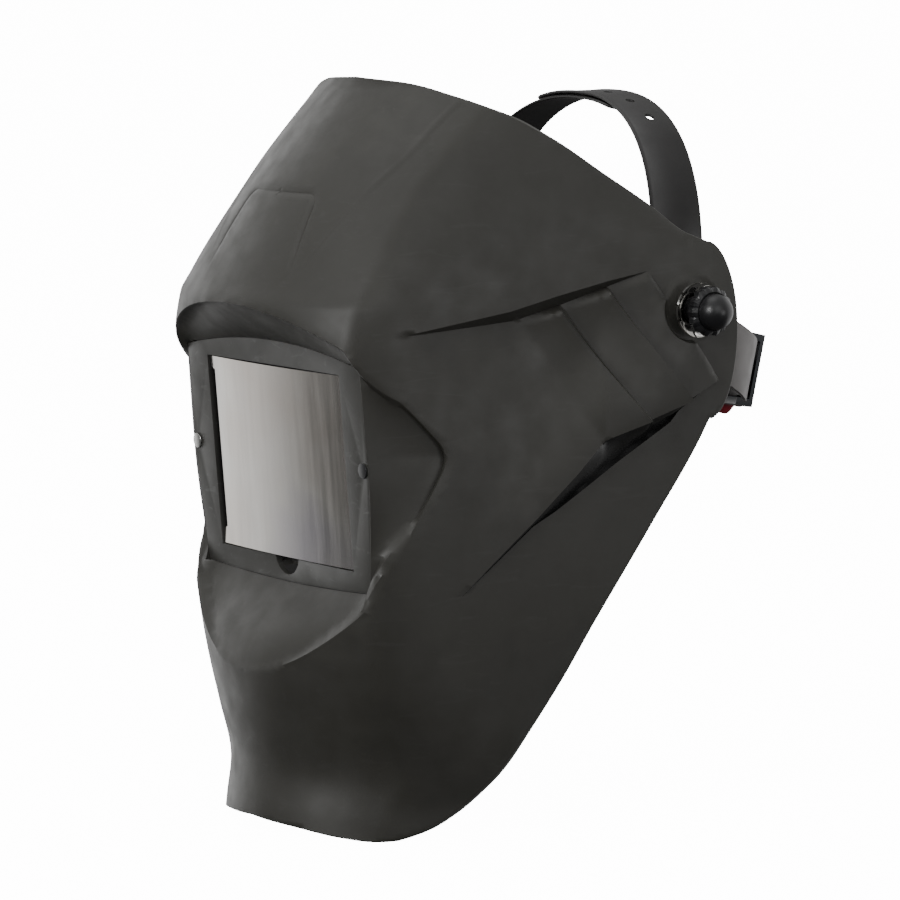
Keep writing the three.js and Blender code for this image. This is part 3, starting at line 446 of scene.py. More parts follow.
def on_nape(solid):
    points, faces = solid
    return turned_about_x(points, NAPE_LEAN) + (0, NAPE_Y, NAPE_Z), faces


def side_name(side):
    return "left" if side > 0 else "right"


def flipped(solid, side):
    points, faces = solid
    return (np.asarray(points, float) * (side, 1, 1), faces)


def strap(path, width_direction, width, thickness):
    """A strap with rounded, slightly raised edges that follows a path."""
    path = np.asarray(path, float)
    ahead, behind = np.roll(path, -1, 0), np.roll(path, 1, 0)
    ahead[-1], behind[0] = path[-1], path[0]
    along = ahead - behind
    along /= np.linalg.norm(along, axis=1)[:, None]
    wide = np.asarray(width_direction, float)
    out = np.cross(along, wide)
    out /= np.linalg.norm(out, axis=1)[:, None]
    rows = []
    for i, point in enumerate(path):
        half = width(i / (len(path) - 1)) / 2
        section = [(-half + 0.5, 0), (half - 0.5, 0), (half, 0.4), (half, thickness - 0.4),
                   (half - 0.5, thickness), (half - 2.0, thickness), (half - 2.6, thickness - STRAP_BEAD),
                   (-half + 2.6, thickness - STRAP_BEAD), (-half + 2.0, thickness), (-half + 0.5, thickness),
                   (-half, thickness - 0.4), (-half, 0.4)]
        rows.append([point + wide * across + out[i] * up for across, up in section])
    return grid(rows)


# ---------------------------------------------------------------- materials
def new_material(name, roughness, metallic=0.0, coat=0.0, specular=0.5):
    material = bpy.data.materials.new(name)
    material.use_nodes = True
    shader = material.node_tree.nodes["Principled BSDF"]
    shader.inputs["Roughness"].default_value = roughness
    shader.inputs["Metallic"].default_value = metallic
    shader.inputs["Coat Weight"].default_value = coat
    shader.inputs["Specular IOR Level"].default_value = specular
    return material, shader


def noise(tree, scale, detail=4, stretch=None, distortion=0.0):
    place = tree.nodes.new("ShaderNodeTexCoord")
    texture = tree.nodes.new("ShaderNodeTexNoise")
    texture.inputs["Scale"].default_value = scale
    texture.inputs["Detail"].default_value = detail
    texture.inputs["Distortion"].default_value = distortion
    if stretch:
        mapping = tree.nodes.new("ShaderNodeMapping")
        mapping.inputs["Scale"].default_value = stretch
        tree.links.new(place.outputs["Object"], mapping.inputs["Vector"])
        tree.links.new(mapping.outputs["Vector"], texture.inputs["Vector"])
    else:
        tree.links.new(place.outputs["Object"], texture.inputs["Vector"])
    return texture.outputs["Fac"]


def ramp(tree, value, stops):
    node = tree.nodes.new("ShaderNodeValToRGB")
    while len(node.color_ramp.elements) < len(stops):
        node.color_ramp.elements.new(0.5)
    for element, (place, colour) in zip(node.color_ramp.elements, stops):
        element.position = place
        element.color = (*colour, 1) if len(colour) == 3 else colour
    tree.links.new(value, node.inputs["Fac"])
    return node.outputs["Color"]


def grey(value):
    return (value, value, value)


def mix(tree, factor, a, b, kind="MIX"):
    node = tree.nodes.new("ShaderNodeMix")
    node.data_type, node.blend_type = "RGBA", kind
    colour_inputs = [s for s in node.inputs if s.type == "RGBA"]
    for socket, value in zip([node.inputs[0], *colour_inputs], (factor, a, b)):
        if isinstance(value, bpy.types.NodeSocket):
            tree.links.new(value, socket)
        elif isinstance(value, tuple):
            socket.default_value = (*value, 1)
        else:
            socket.default_value = value
    return [s for s in node.outputs if s.type == "RGBA"][0]


def bump(tree, shader, value, strength, distance):
    node = tree.nodes.new("ShaderNodeBump")
    node.inputs["Strength"].default_value = strength
    node.inputs["Distance"].default_value = distance
    tree.links.new(value, node.inputs["Height"])
    before = shader.inputs["Normal"].links
    if before:
        tree.links.new(before[0].from_socket, node.inputs["Normal"])
    tree.links.new(node.outputs["Normal"], shader.inputs["Normal"])


SCUFF_GREY, GLOSS_SPREAD = 0.12, 0.08


def plastic(name, dark, light, roughness, grain=2600, grain_depth=0.00004, scuffs=0.0, coat=0.0):
    """Moulded plastic: cloudy colour, varied gloss, fine grain and, if asked, pale scuffs."""
    material, shader = new_material(name, roughness, coat=coat)
    tree = material.node_tree
    colour = ramp(tree, noise(tree, 22, 5), [(0.3, dark), (0.7, light)])
    colour = mix(tree, ramp(tree, noise(tree, 160, 3), [(0.35, grey(0)), (0.75, grey(0.35))]), colour, light)
    gloss = [(0.3, grey(roughness - GLOSS_SPREAD)), (0.72, grey(roughness + GLOSS_SPREAD))]
    rough = ramp(tree, noise(tree, 70, 6), gloss)
    if scuffs:
        scratches = noise(tree, 90, 8, (1, 0.35, 2.4), 1.2)
        scratch = ramp(tree, scratches, [(0.60, grey(0)), (0.72, grey(scuffs))])
        spots = ramp(tree, noise(tree, 420, 3), [(0.66, grey(0)), (0.76, grey(scuffs))])
        colour = mix(tree, scratch, colour, grey(SCUFF_GREY))
        colour = mix(tree, spots, colour, grey(SCUFF_GREY * 0.8))
    tree.links.new(colour, shader.inputs["Base Color"])
    tree.links.new(rough, shader.inputs["Roughness"])
    bump(tree, shader, noise(tree, grain, 3), 0.5, grain_depth)
    return material


def metal(name, colour, roughness, streaks=None, spread=0.05):
    material, shader = new_material(name, roughness, metallic=1.0)
    tree = material.node_tree
    tone = ramp(tree, noise(tree, 260, 5, streaks), [(0.3, tuple(c * 0.82 for c in colour)), (0.7, colour)])
    rough = ramp(tree, noise(tree, 500, 6, streaks),
                 [(0.3, grey(max(roughness - spread, 0.02))), (0.7, grey(roughness + spread))])
    tree.links.new(tone, shader.inputs["Base Color"])
    tree.links.new(rough, shader.inputs["Roughness"])
    bump(tree, shader, noise(tree, 900, 3, streaks), 0.15, 0.00002)
    return material


def coated_lens(name):
    """Metal-coated pane: a soft mirror with brown and violet clouds and fine upright wipe marks."""
    material, shader = new_material(name, 0.16, metallic=0.9, coat=0.5)
    tree = material.node_tree
    clouds = ramp(tree, noise(tree, 14, 3), [(0.3, (0.44, 0.40, 0.36)), (0.55, (0.50, 0.48, 0.45)),
                                              (0.75, (0.42, 0.40, 0.42))])
    wipes = ramp(tree, noise(tree, 40, 5, (6, 1, 0.4)), [(0.3, grey(0.11)), (0.7, grey(0.22))])
    tree.links.new(clouds, shader.inputs["Base Color"])
    tree.links.new(wipes, shader.inputs["Roughness"])
    return material


def glass_plate(name, colour):
    material, shader = new_material(name, 0.06, coat=1.0)
    tree = material.node_tree
    tint = ramp(tree, noise(tree, 30, 3), [(0.3, tuple(c * 0.8 for c in colour)), (0.7, colour)])
    smear = ramp(tree, noise(tree, 60, 6, (1, 1, 0.4)), [(0.35, grey(0.04)), (0.75, grey(0.16))])
    tree.links.new(tint, shader.inputs["Base Color"])
    tree.links.new(smear, shader.inputs["Roughness"])
    return material


def woven(name, dark, light):
    """Brushed cotton weave over foam."""
    material, shader = new_material(name, 0.9, specular=0.2)
    shader.inputs["Sheen Weight"].default_value = 0.35
    tree = material.node_tree
    place = tree.nodes.new("ShaderNodeTexCoord")
    height = None
    for direction in ("X", "Z"):
        wave = tree.nodes.new("ShaderNodeTexWave")
        wave.bands_direction = direction
        wave.inputs["Scale"].default_value = 420
        wave.inputs["Distortion"].default_value = 1.2
        tree.links.new(place.outputs["Object"], wave.inputs["Vector"])
        threads = wave.outputs["Color"]
        height = threads if height is None else mix(tree, 0.5, height, threads, "ADD")
    cloud = ramp(tree, noise(tree, 60, 4), [(0.3, dark), (0.7, light)])
    tree.links.new(mix(tree, 0.35, cloud, height, "MULTIPLY"), shader.inputs["Base Color"])
    bump(tree, shader, height, 0.45, 0.0002)
    bump(tree, shader, noise(tree, 1400, 3), 0.4, 0.0001)
    return material


SHELL = plastic("shell_plastic", (0.027, 0.026, 0.022), (0.034, 0.033, 0.028), 0.5, scuffs=0.05)
SHELL_INSIDE = plastic("shell_inside", (0.022, 0.022, 0.021), (0.030, 0.029, 0.027), 0.58)
# Step under the slats: glossier than the shell, and its darker colour than the shell's is painted shade of
# the recess under the slats.
WEDGE = plastic("polished_plastic_painted_shade", (0.012, 0.012, 0.012), (0.018, 0.018, 0.018), 0.2, grain_depth=0.00001)
FRAME = plastic("frame_plastic", (0.036, 0.036, 0.032), (0.048, 0.047, 0.043), 0.44, scuffs=0.35)
BLACK = plastic("knob_plastic", (0.008, 0.008, 0.009), (0.014, 0.014, 0.015), 0.34, grain=3200)
BAND = plastic("band_plastic", (0.010, 0.009, 0.009), (0.017, 0.016, 0.015), 0.42, grain=1800)
TAIL = plastic("tail_plastic", (0.052, 0.045, 0.042), (0.078, 0.068, 0.063), 0.45, grain=1800)
SLATE = plastic("housing_plastic", (0.024, 0.027, 0.032), (0.034, 0.037, 0.043), 0.42)
RED = plastic("red_plastic", (0.26, 0.008, 0.022), (0.38, 0.014, 0.034), 0.33, coat=0.2)
FIBRE = plastic("fibre", (0.15, 0.09, 0.05), (0.24, 0.16, 0.09), 0.85, grain=900, grain_depth=0.0001)
RUBBER = plastic("gasket_rubber", (0.010, 0.010, 0.010), (0.016, 0.016, 0.016), 0.8, grain=1500)
CHROME = metal("chrome", (0.86, 0.85, 0.83), 0.045, spread=0.02)
STEEL = metal("zinc_steel", (0.56, 0.56, 0.54), 0.3, (1, 6, 6))
LENS = coated_lens("coated_lens")
DARK_GLASS = glass_plate("filter_glass", (0.010, 0.018, 0.009))
CLEAR = glass_plate("clear_plate", (0.05, 0.06, 0.055))
CLOTH = woven("brushed_cotton", (0.05, 0.046, 0.042), (0.085, 0.078, 0.07))


# ---------------------------------------------------------------- visor shell
ARC = 110.0                     # millimetres of the flattened shell per radian
CREASE_STEP = 1.3               # grid on which its crease lines are traced
OUTER_SPACING, INNER_SPACING, EDGE_SPACING = 2.0, 4.5, 2.4
EDGE_ROUND = 1.0                # how far the rounded rim stands out


def shell_points(u, z, radius):
    angle = u / ARC
    distance = radius(np.abs(angle), z)
    return np.stack([distance * np.sin(angle), -distance * np.cos(angle), z], 1)


def rim_loop(spacing):
    """Edge of the left half in the flattened plane, anticlockwise from the bottom of the seam."""
    degrees = np.linspace(0, EAR_START, int(EAR_START / 180 * math.pi * ARC / spacing))
    turn = np.linspace(0, math.pi / 2, 26)
    ear = EAR_START + (EAR_END - EAR_START) * np.sin(turn)
    down = EAR_HEIGHT + (RIM_BOTTOM[-1][1] - EAR_HEIGHT) * np.cos(turn)
    up = EAR_HEIGHT + (RIM_TOP[-1][1] - EAR_HEIGHT) * np.cos(turn)
    bottom = list(zip(degrees, curve(degrees, RIM_BOTTOM))) + list(zip(ear[1:], down[1:]))
    top = list(zip(degrees, curve(degrees, RIM_TOP))) + list(zip(ear[1:-1], up[1:-1]))
    edge = [(math.radians(d) * ARC, z) for d, z in bottom + top[::-1]]
    seam_z = np.arange(RIM_BOTTOM[0][1] + spacing, RIM_TOP[0][1] - spacing * 0.5, spacing)
    return edge, [(0.0, z) for z in seam_z[::-1]]


def contour(us, zs, field, mask):
    """Segments where a field sampled on a grid is zero."""
    points, index, segments = [], {}, []

    def crossing(i, j, k, m):
        key = (i, j, k, m)
        if key not in index:
            a, b = field[i, j], field[k, m]
            t = a / (a - b)
            index[key] = len(points)
            points.append((us[i] + (us[k] - us[i]) * t, zs[j] + (zs[m] - zs[j]) * t))
        return index[key]

    positive = field > 0
    mixed = (positive[:-1, :-1] != positive[1:, :-1]) | (positive[:-1, :-1] != positive[:-1, 1:])
    mixed |= positive[:-1, :-1] != positive[1:, 1:]
    for i, j in zip(*np.nonzero(mixed & mask[:-1, :-1])):
        edges = [(i, j, i + 1, j), (i + 1, j, i + 1, j + 1), (i, j + 1, i + 1, j + 1), (i, j, i, j + 1)]
        hits = [crossing(*e) for e in edges if positive[e[0], e[1]] != positive[e[2], e[3]]]
        segments += [tuple(hits[k:k + 2]) for k in range(0, len(hits) - 1, 2)]
    return points, segments


def crease_lines():
    """The lines along which the outer surface bends sharply, in the flattened plane."""
    us = np.arange(0.35, math.radians(EAR_END) * ARC + 6, CREASE_STEP)
    zs = np.arange(-180, 106, CREASE_STEP)
    u, z = np.meshgrid(us, zs, indexing="ij")
    angle = u / ARC
    base = shell_base(angle, z)
    x, y = base * np.sin(angle), -base * np.cos(angle)
    inside_rim = (z > rim_height(np.degrees(angle), RIM_BOTTOM) + 1.2)
    inside_rim &= (z < rim_height(np.degrees(angle), RIM_TOP) - 1.2) & (np.degrees(angle) < EAR_END - 0.8)
    floor, share, bend, recess = recess_fields(angle, z, base)
    recess = recess & inside_rim & (base > floor)
    cheek = inside_rim & (angle > 0.47) & (y < 14.5)
    upper, top, low, border = cheek_lines(y)
    behind = [behind_line(edge, y, z) for edge in SLAT_EDGES]
    between = cheek & (z < top + 1) & (z > low - 1)
    fields = [
        *[(share - level, recess & (z > APEX_HEIGHT)) for level in (0, 0.85, 0.93, 1, 1.08)],
        *[(share - level, recess & (z <= APEX_HEIGHT)) for level in (0, 0.5, 1, 1.5)],
        (bend, recess & (share < 1)),
        (z - upper, cheek & (y > -150) & (y < -25)), (z - top, cheek & (y > -155)),
        (z - low, cheek & (y > -122)), (z - border, cheek & (y > -122)),
        (z - border - WEDGE_FOOT * (low - border), cheek & (y > -110) & (y < 8)),
        (np.hypot(y, z) - SEAT_RADIUS - 1.4, inside_rim), (np.hypot(y, z) - SEAT_RADIUS, inside_rim),
    ]
    fields += [(behind[i], between) for i in range(4)]
    fields += [(behind[i] + SLAT_DROP, between) for i in (1, 2, 3)]
    plate = plate_distance(x, z)
    forehead = inside_rim & (z > PLATE_FOOT) & (angle < 0.6)
    fields += [(plate - offset, forehead) for offset in (-1.1, 0, 1.1)]
    fold = fold_distance(x, z)
    beside = inside_rim & (z > 18) & (angle < 0.8)
    fields += [(fold - offset, beside) for offset in (-FOLD_WIDTH, 0, FOLD_WIDTH)]
    points, segments = [], []
    for field, mask in fields:
        made, lines = contour(us, zs, field, mask)
        segments += [(a + len(points), b + len(points)) for a, b in lines]
        points += made
    return points, segments


def half_sheet(spacing, creases):
    """Triangles that fill the left half of the flattened shell: (points, triangles, edge loop)."""
    edge, seam = rim_loop(EDGE_SPACING)
    loop = edge + seam
    lines, segments = creases
    points = loop + lines
    constraints = [(i, (i + 1) % len(loop)) for i in range(len(loop))]
    constraints += [(a + len(loop), b + len(loop)) for a, b in segments]
    tree = kdtree.KDTree(len(points))
    for i, (u, z) in enumerate(points):
        tree.insert((u, z, 0), i)
    tree.balance()
    row, z = 0, RIM_BOTTOM[3][1]
    while z < RIM_TOP[0][1]:
        for u in np.arange(spacing * (0.5 + 0.5 * (row % 2)), math.radians(EAR_END) * ARC, spacing):
            degrees = math.degrees(u / ARC)
            low, high = rim_height(degrees, RIM_BOTTOM), rim_height(degrees, RIM_TOP)
            if low + 0.5 * spacing < z < high - 0.5 * spacing and tree.find((u, z, 0))[2] > 0.55 * spacing:
                points.append((u, z))
        z += spacing * 0.866
        row += 1
    made = delaunay_2d_cdt([Vector(p) for p in points], constraints, [], 0, 1e-4)
    flat = np.array([tuple(v) for v in made[0]])
    triangles = np.array([f for f in made[2]])
    middle = flat[triangles].mean(1)
    degrees = np.degrees(middle[:, 0] / ARC)
    keep = (middle[:, 0] > 0) & (degrees < EAR_END)
    keep &= middle[:, 1] > rim_height(degrees, RIM_BOTTOM) - 0.02
    keep &= middle[:, 1] < rim_height(degrees, RIM_TOP) + 0.02
    where = {}
    for new, olds in enumerate(made[3]):
        for old in olds:
            where[old] = new
    return flat, triangles[keep], [where[i] for i in range(len(edge))]


def on_wedge(flat, triangles):
    """Which triangles lie on the polished step below the slats; their darker colour is painted shade."""
    u, z = flat[triangles].mean(1).T
    y = -shell_base(u / ARC, z) * np.cos(u / ARC)
    step = (z < polyline(y, LINE_LOW)) & (z > polyline(y, LINE_BORDER))
    return step & (y > -121) & (y < 14) & (u > 0.45 * ARC)


def visor_shell():
    outer, outer_faces, outer_edge = half_sheet(OUTER_SPACING, crease_lines())
    inner, inner_faces, inner_edge = half_sheet(INNER_SPACING, ([], []))
    outside = shell_points(outer[:, 0], outer[:, 1], outer_radius)
    inside = shell_points(inner[:, 0], inner[:, 1], inner_radius)
    points = [outside, inside]
    faces = [outer_faces, inner_faces[:, ::-1] + len(outside)]
    steps = 5
    edge_out, edge_in = outside[outer_edge], inside[inner_edge]
    along = np.gradient(edge_out, axis=0)
    away = np.cross(along, edge_out - edge_in)
    away /= np.linalg.norm(away, axis=1)[:, None]
    middle = np.array([0, -40, -60])
    away *= np.sign(((edge_out - middle) * away).sum(1))[:, None]
    rows = [np.array(outer_edge)]
    start = len(outside) + len(inside)
    for k in range(1, steps):
        turn = math.pi * k / steps
        share = (1 - math.cos(turn)) / 2
        points.append(edge_out + (edge_in - edge_out) * share + away * EDGE_ROUND * math.sin(turn))
        rows.append(np.arange(start, start + len(edge_out)))
        start += len(edge_out)
    rows.append(np.array(inner_edge) + len(outside))
    quads = []
    for a, b in zip(rows[:-1], rows[1:]):
        for i in range(len(a) - 1):
            quads.append((a[i], a[i + 1], b[i + 1], b[i]))
    half = np.concatenate(points)
    polygons = [tuple(f) for part in faces for f in part] + quads
    count = len(half)
    both = np.concatenate([half, half * (-1, 1, 1)])
    polygons += [tuple(i + count for i in f)[::-1] for f in polygons]
    one_side = np.zeros(len(polygons) // 2, int)
    # The step under the slats takes the darker material: painted shade on a glossier finish.
    one_side[:len(outer_faces)] = np.where(on_wedge(outer, outer_faces), 2, 0)
    one_side[len(outer_faces):len(outer_faces) + len(inner_faces)] = 1
    choice = np.concatenate([one_side, one_side])
    piece = mesh_piece("visor_shell", both, polygons, [SHELL, SHELL_INSIDE, WEDGE], "visor",
                       ["helmet_shell"], "shell_plastic", 30, choice)
    welded = bmesh.new()
    welded.from_mesh(piece.data)
    bmesh.ops.remove_doubles(welded, verts=welded.verts, dist=5e-6)
    bmesh.ops.recalc_face_normals(welded, faces=welded.faces)
    welded.to_mesh(piece.data)
    welded.free()
    return piece


def frame_outline(margin):
    outline, count = [], 24
    for i in range(-count, count + 1):
        x = i / count
        outline.append((x * (FRAME_HALF_BOTTOM + margin), FRAME_BOTTOM - margin + FRAME_FOOT_RISE * x * x))
    outline.append((FRAME_HALF_MIDDLE + margin, 0))
    for i in range(count, -count - 1, -1):
        x = i / count
        outline.append((x * (FRAME_HALF_TOP + margin), FRAME_TOP + margin - FRAME_HEAD_DROP * x * x))
    outline.append((-FRAME_HALF_MIDDLE - margin, 0))
    return outline


def rectangle(half, bottom, top):
    return [(-half, bottom), (half, bottom), (half, top), (-half, top)]


shell = visor_shell()
carve(
    shell,
    on_panel(prism_y(frame_outline(POCKET_GAP), -30, FRAME_PLATE + 0.3)),
    on_panel(prism_y(rectangle(COLLAR_HALF_WIDTH + COLLAR_GAP, COLLAR_BOTTOM - COLLAR_GAP,
                               COLLAR_TOP + COLLAR_GAP), -5, 40)),
    cylinder_x(STUD_RADIUS + STUD_GAP, -110, 110),
    *[on_panel(prism_y(circle(2.6, side * PIN_X), -5, 20)) for side in (-1, 1)],
)


# ---------------------------------------------------------------- lens cassette
refined("lens_frame", FRAME, 0.5, 3)
refined("glass_retainer", FRAME, 0.3)
refined("lens_gasket", RUBBER, 0.2)
refined("filter_glass", DARK_GLASS, 0.2)
refined("inner_cover_lens", CLEAR, 0.15)


def cover_lens():
    """Bowed pane with a tab at each corner and a bent strip along its foot."""
    bottom, top = WINDOW_MIDDLE - COVER_HEIGHT / 2, WINDOW_MIDDLE + COVER_HEIGHT / 2
    inset, tab, strip = 3.4, 5.5, 7.0
    levels = [bottom, bottom + strip, *np.linspace(bottom + strip + 1.2, top - tab - 0.8, 24), top - tab, top]
    sheets = []
    for depth in (0.0, 1.2):
        rows = []
        for z in levels:
            edge = bottom + strip < z < top - tab
            row = []
            for t in np.linspace(-1, 1, 49):
                x = t * (COVER_WIDTH / 2 - (inset if edge and t < 0 else 0))
                bow = 1.3 - COVER_BOW * (1 - (2 * x / COVER_WIDTH) ** 2)
                bend = 0.5 * max(bottom + strip - z, 0) / strip
                row.append((x, bow - bend + depth, z))
            rows.append(row)
        sheets.append(rows)
    loops = [list(front) + list(back)[::-1] for front, back in zip(*sheets)]
    points, faces = on_panel(grid(loops))
    return mesh_piece("cover_lens_detail", points, faces, LENS, "visor", ["cover_lens"], "cover_plastic", 40)


cover_lens()
refined("frame_pin_right", STEEL, 0.5, 3)
refined("frame_pin_left", BLACK, 0.5, 3)


# ---------------------------------------------------------------- pivots
def arc_profile(centre, radius, start, end, count):
    return [(centre[0] + radius * math.cos(math.radians(t)), centre[1] + radius * math.sin(math.radians(t)))
            for t in np.linspace(start, end, count)]


def spring_cup(side):
    """Polished dished disc with six radial slots, its open side facing out."""
    bowl = [(STUD_RADIUS + 0.7, CUP_BASE + 0.1)]
    dish = [(r, CUP_BASE + 0.1 + (CUP_RIM - CUP_BASE - 1.0) * ((r - 5.5) / (CUP_RADIUS - 5.5)) ** 1.7)
            for r in np.linspace(5.5, CUP_RADIUS, 16)]
    inner = [(r - 0.25, x + 0.7) for r, x in dish][::-1]
    profile = bowl + dish + [(CUP_RADIUS - 0.3, CUP_RIM)] + inner[1:] + [(STUD_RADIUS + 0.7, CUP_BASE + 0.9)]
    solid = flipped(turned_x(profile, 120), side)
    node = f"spring_cup_{side_name(side)}"
    piece = mesh_piece(f"{node}_detail", *solid, CHROME, "visor", [node], "chrome", 40)
    slot = [(side * x, y, z) for x in (94, 112) for y in (8.6, 20) for z in (-0.6, 0.6)]
    faces = [(0, 1, 3, 2), (4, 6, 7, 5), (0, 4, 5, 1), (2, 3, 7, 6), (0, 2, 6, 4), (1, 5, 7, 3)]
    carve(piece, *[(turned_about_x(slot, (i + 0.35) * math.pi / 3), faces) for i in range(6)])
    return piece


def tension_knob(side):
    """Scalloped flange with a polished dome."""
    dome = arc_profile((0, KNOB_END - KNOB_DOME_RADIUS), KNOB_DOME_RADIUS, 0, 88, 18)
    dome = [(r, min(x, KNOB_END)) for r, x in dome]
    skirt = KNOB_FLANGE_RADIUS
    profile = [(STUD_RADIUS + 0.35, KNOB_START), (6.4, KNOB_START), (6.6, 105.8), (7.6, 106.2), (7.6, 107.4),
               (7.0, 107.8), (8.0, 108.3), (8.2, 110.2), (skirt - 1.4, 110.7), (skirt - 0.3, 111.4),
               (skirt - 0.2, 114.8), (skirt - 1.2, 115.9), (9.3, 116.3), (8.7, 115.8),
               (KNOB_DOME_RADIUS, 116.2), *dome, (0.05, KNOB_END), (0.05, 118.3), (STUD_RADIUS + 0.35, 118.2)]

    def scallop(turn, radius):
        return 0.55 * math.cos(14 * turn) ** 3 if radius > KNOB_FLANGE_RADIUS - 1.5 else 0

    name = side_name(side)
    solid = flipped(turned_x(profile, 168, scallop), side)
    return mesh_piece(f"tension_knob_{name}_detail", *solid, BLACK, f"{name}_knob", [f"tension_knob_{name}"],
                      "black_plastic", 38)


for sign in (1, -1):
    suffix = side_name(sign)
    spring_cup(sign)
    tension_knob(sign)
    refined(f"pivot_stud_{suffix}", STEEL)
    refined(f"hanger_plate_{suffix}", BLACK, 0.5, 3)
    refined(f"hanger_rivet_{suffix}", STEEL)
    refined(f"tilt_stop_plate_{suffix}", BLACK, 0.5, 3)
    refined(f"friction_washer_{suffix}", FIBRE, 0.25)


# ---------------------------------------------------------------- headgear
RING_NORMAL = np.array([0, RING_SLOPE, 1]) / math.hypot(RING_SLOPE, 1)


def ring_point(degrees, outwards):
    turn, power = math.radians(degrees), 2 / RING_POWER
    sine, cosine = signed_power(math.sin(turn), power), signed_power(math.cos(turn), power)
    y = RING_MIDDLE - (RING_HALF_LENGTH + outwards) * cosine
    return ((RING_HALF_WIDTH + outwards) * sine, y, RING_DROP - RING_SLOPE * (y - RING_MIDDLE))


def crown_path(lift):
    def at(x, z):
        height = min(max((z - 20) / (CROWN_TOP - 20), 0), 1)
        return (x, 5.5 + 8.5 * height * height, z)

    path = [at(CROWN_X, z) for z in np.linspace(CROWN_FOOT, CROWN_BEND, 12, endpoint=False)]
    power = 2 / CROWN_POWER
    for degrees in np.linspace(0, CROWN_REACH, 90):
        turn = math.radians(degrees)
        cosine = signed_power(math.cos(turn), power)
        sine = math.sin(turn) ** power
        path.append(at(CROWN_X * cosine, CROWN_BEND + (CROWN_TOP - CROWN_BEND + lift * sine) * sine))
    return path


def crown_strap(side, lift, holes):
    node = f"crown_strap_{side_name(side)}"

    def width(t):
        tip = math.sqrt(max(1 - max((t - 0.96) / 0.045, 0) ** 2, 0.05))
        return (31 - 6 * min(t * 1.4, 1)) * tip

    solid = flipped(strap(crown_path(lift), (0, -1, 0), width, CROWN_THICKNESS), side)
    piece = mesh_piece(f"{node}_detail", *solid, BAND, "headgear", [node], "band_plastic", 38)
    tools = [cylinder_x(7.2, 70 * side, 90 * side)]
    for x in holes:
        hole = circle(PEG_HOLE_RADIUS, count=24)
        tools.append(grid([[(side * (x + p), 14 + q, z) for p, q in hole] for z in (80, 125)]))
    carve(piece, *tools)
    return piece


crown_strap(1, 2.4, [46, 30, 12, -8])
crown_strap(-1, 0, [-12, 8])
refined("headband", BAND, 0.4)
refined("nape_tail_left", TAIL, 0.25)
refined("nape_tail_right", TAIL, 0.25)
refined("ratchet_base", SLATE, 0.6, 3)
refined("ratchet_cover", SLATE, 1.1, 4)
refined("ratchet_pinion", BLACK, 0.15)
refined("detent_spring", STEEL, 0.15)
refined("ratchet_screw", STEEL, 0.3)


def ratchet_knob():
    """Eight-lobed knob with rounded rims and a dished face."""
    def ring(y, inset):
        row = []
        for i in range(KNOB_POINTS):
            turn = 2 * math.pi * i / KNOB_POINTS
            radius = RATCHET_KNOB_RADIUS - KNOB_LOBE + KNOB_LOBE * math.cos(8 * turn) - inset
            row.append((radius * math.cos(turn), y, radius * math.sin(turn)))
        return row

    def plain(y, radius):
        return [(x, y, z) for x, z in circle(radius, count=KNOB_POINTS)]

    rows = [plain(9.4, 3.8), plain(6.4, 3.8), ring(6.4, 1.2), ring(6.8, 0.4), ring(7.6, 0), ring(14.6, 0),
            ring(15.5, 0.4), ring(16, 1.2), plain(16, 14.0), plain(15.6, 13.5), plain(14.8, 12.4),
            plain(14.4, 9), plain(14.4, 5.6), plain(12.4, 3.7), plain(12.4, 1.8), plain(9.4, 1.8)]
    points, faces = on_nape(grid(rows, closed_along=True, caps=False))
    return mesh_piece("ratchet_knob_detail", points, faces, RED, "ratchet", ["ratchet_knob"],
                      "red_plastic", 38)


ratchet_knob()


# ---------------------------------------------------------------- pads
def pad(name, points, faces, body, node, cap):
    """A foam pad swollen by cloth simulation, each point by no more than cap millimetres."""
    piece = mesh_piece(name, points, faces, CLOTH, body, [node], "pad_foam", 180)
    rest = np.array([v.co for v in piece.data.vertices])
    remesh = piece.modifiers.new("remesh", "REMESH")
    remesh.mode, remesh.voxel_size = "VOXEL", PAD_VOXEL
    apply_modifiers(piece)
    rest = np.array([v.co for v in piece.data.vertices])
    cloth = piece.modifiers.new("cloth", "CLOTH")
    cloth.settings.use_pressure = True
    cloth.settings.uniform_pressure_force = PAD_PRESSURE
    cloth.settings.effector_weights.gravity = 0
    scene = bpy.context.scene
    for number in range(1, PAD_FRAMES + 1):
        scene.frame_set(number)
    apply_modifiers(piece)
    scene.frame_set(1)
    moved = np.array([v.co for v in piece.data.vertices])
    shift = moved - rest
    length = np.linalg.norm(shift, axis=1)[:, None]
    shift *= np.minimum(1, cap * MM / np.maximum(length, 1e-9))
    piece.data.vertices.foreach_set("co", (rest + shift).ravel())
    piece.data.shade_smooth()
    smooth = piece.modifiers.new("smooth", "SUBSURF")
    smooth.levels = smooth.render_levels = 1
    return piece


def band_pad():
    reach, sections = 62, []
    for i in range(61):
        t = i / 60
        degrees = -reach + 2 * reach * t
        end = math.sqrt(max(1 - (abs(2 * t - 1)) ** 10, 0.02))
        section = []
        for k in range(16):
            turn = 2 * math.pi * k / 16
            up = 14.2 * signed_power(math.sin(turn), 0.5) * end
            inward = -2.9 + 1.35 * signed_power(math.cos(turn), 0.7) * end
            section.append(np.array(ring_point(degrees, inward)) + RING_NORMAL * up)
        sections.append(section)
    return grid(sections)


def block_pad():
    sections = []
    for i in range(25):
        t = -1 + 2 * i / 24
        end = math.sqrt(max(1 - abs(t) ** 8, 0.03))
        turns = np.linspace(0, 2 * math.pi, 16, endpoint=False)
        sections.append([(t * 25, -7.6 + 1.2 * end * signed_power(math.cos(a), 0.6),
                          4 + 10.6 * end * signed_power(math.sin(a), 0.5)) for a in turns])
    return on_nape(grid(sections))


pad("sweatband_detail", *band_pad(), "headgear", "sweatband", 0.9)
pad("nape_pad_detail", *block_pad(), "headgear", "nape_pad", 0.8)


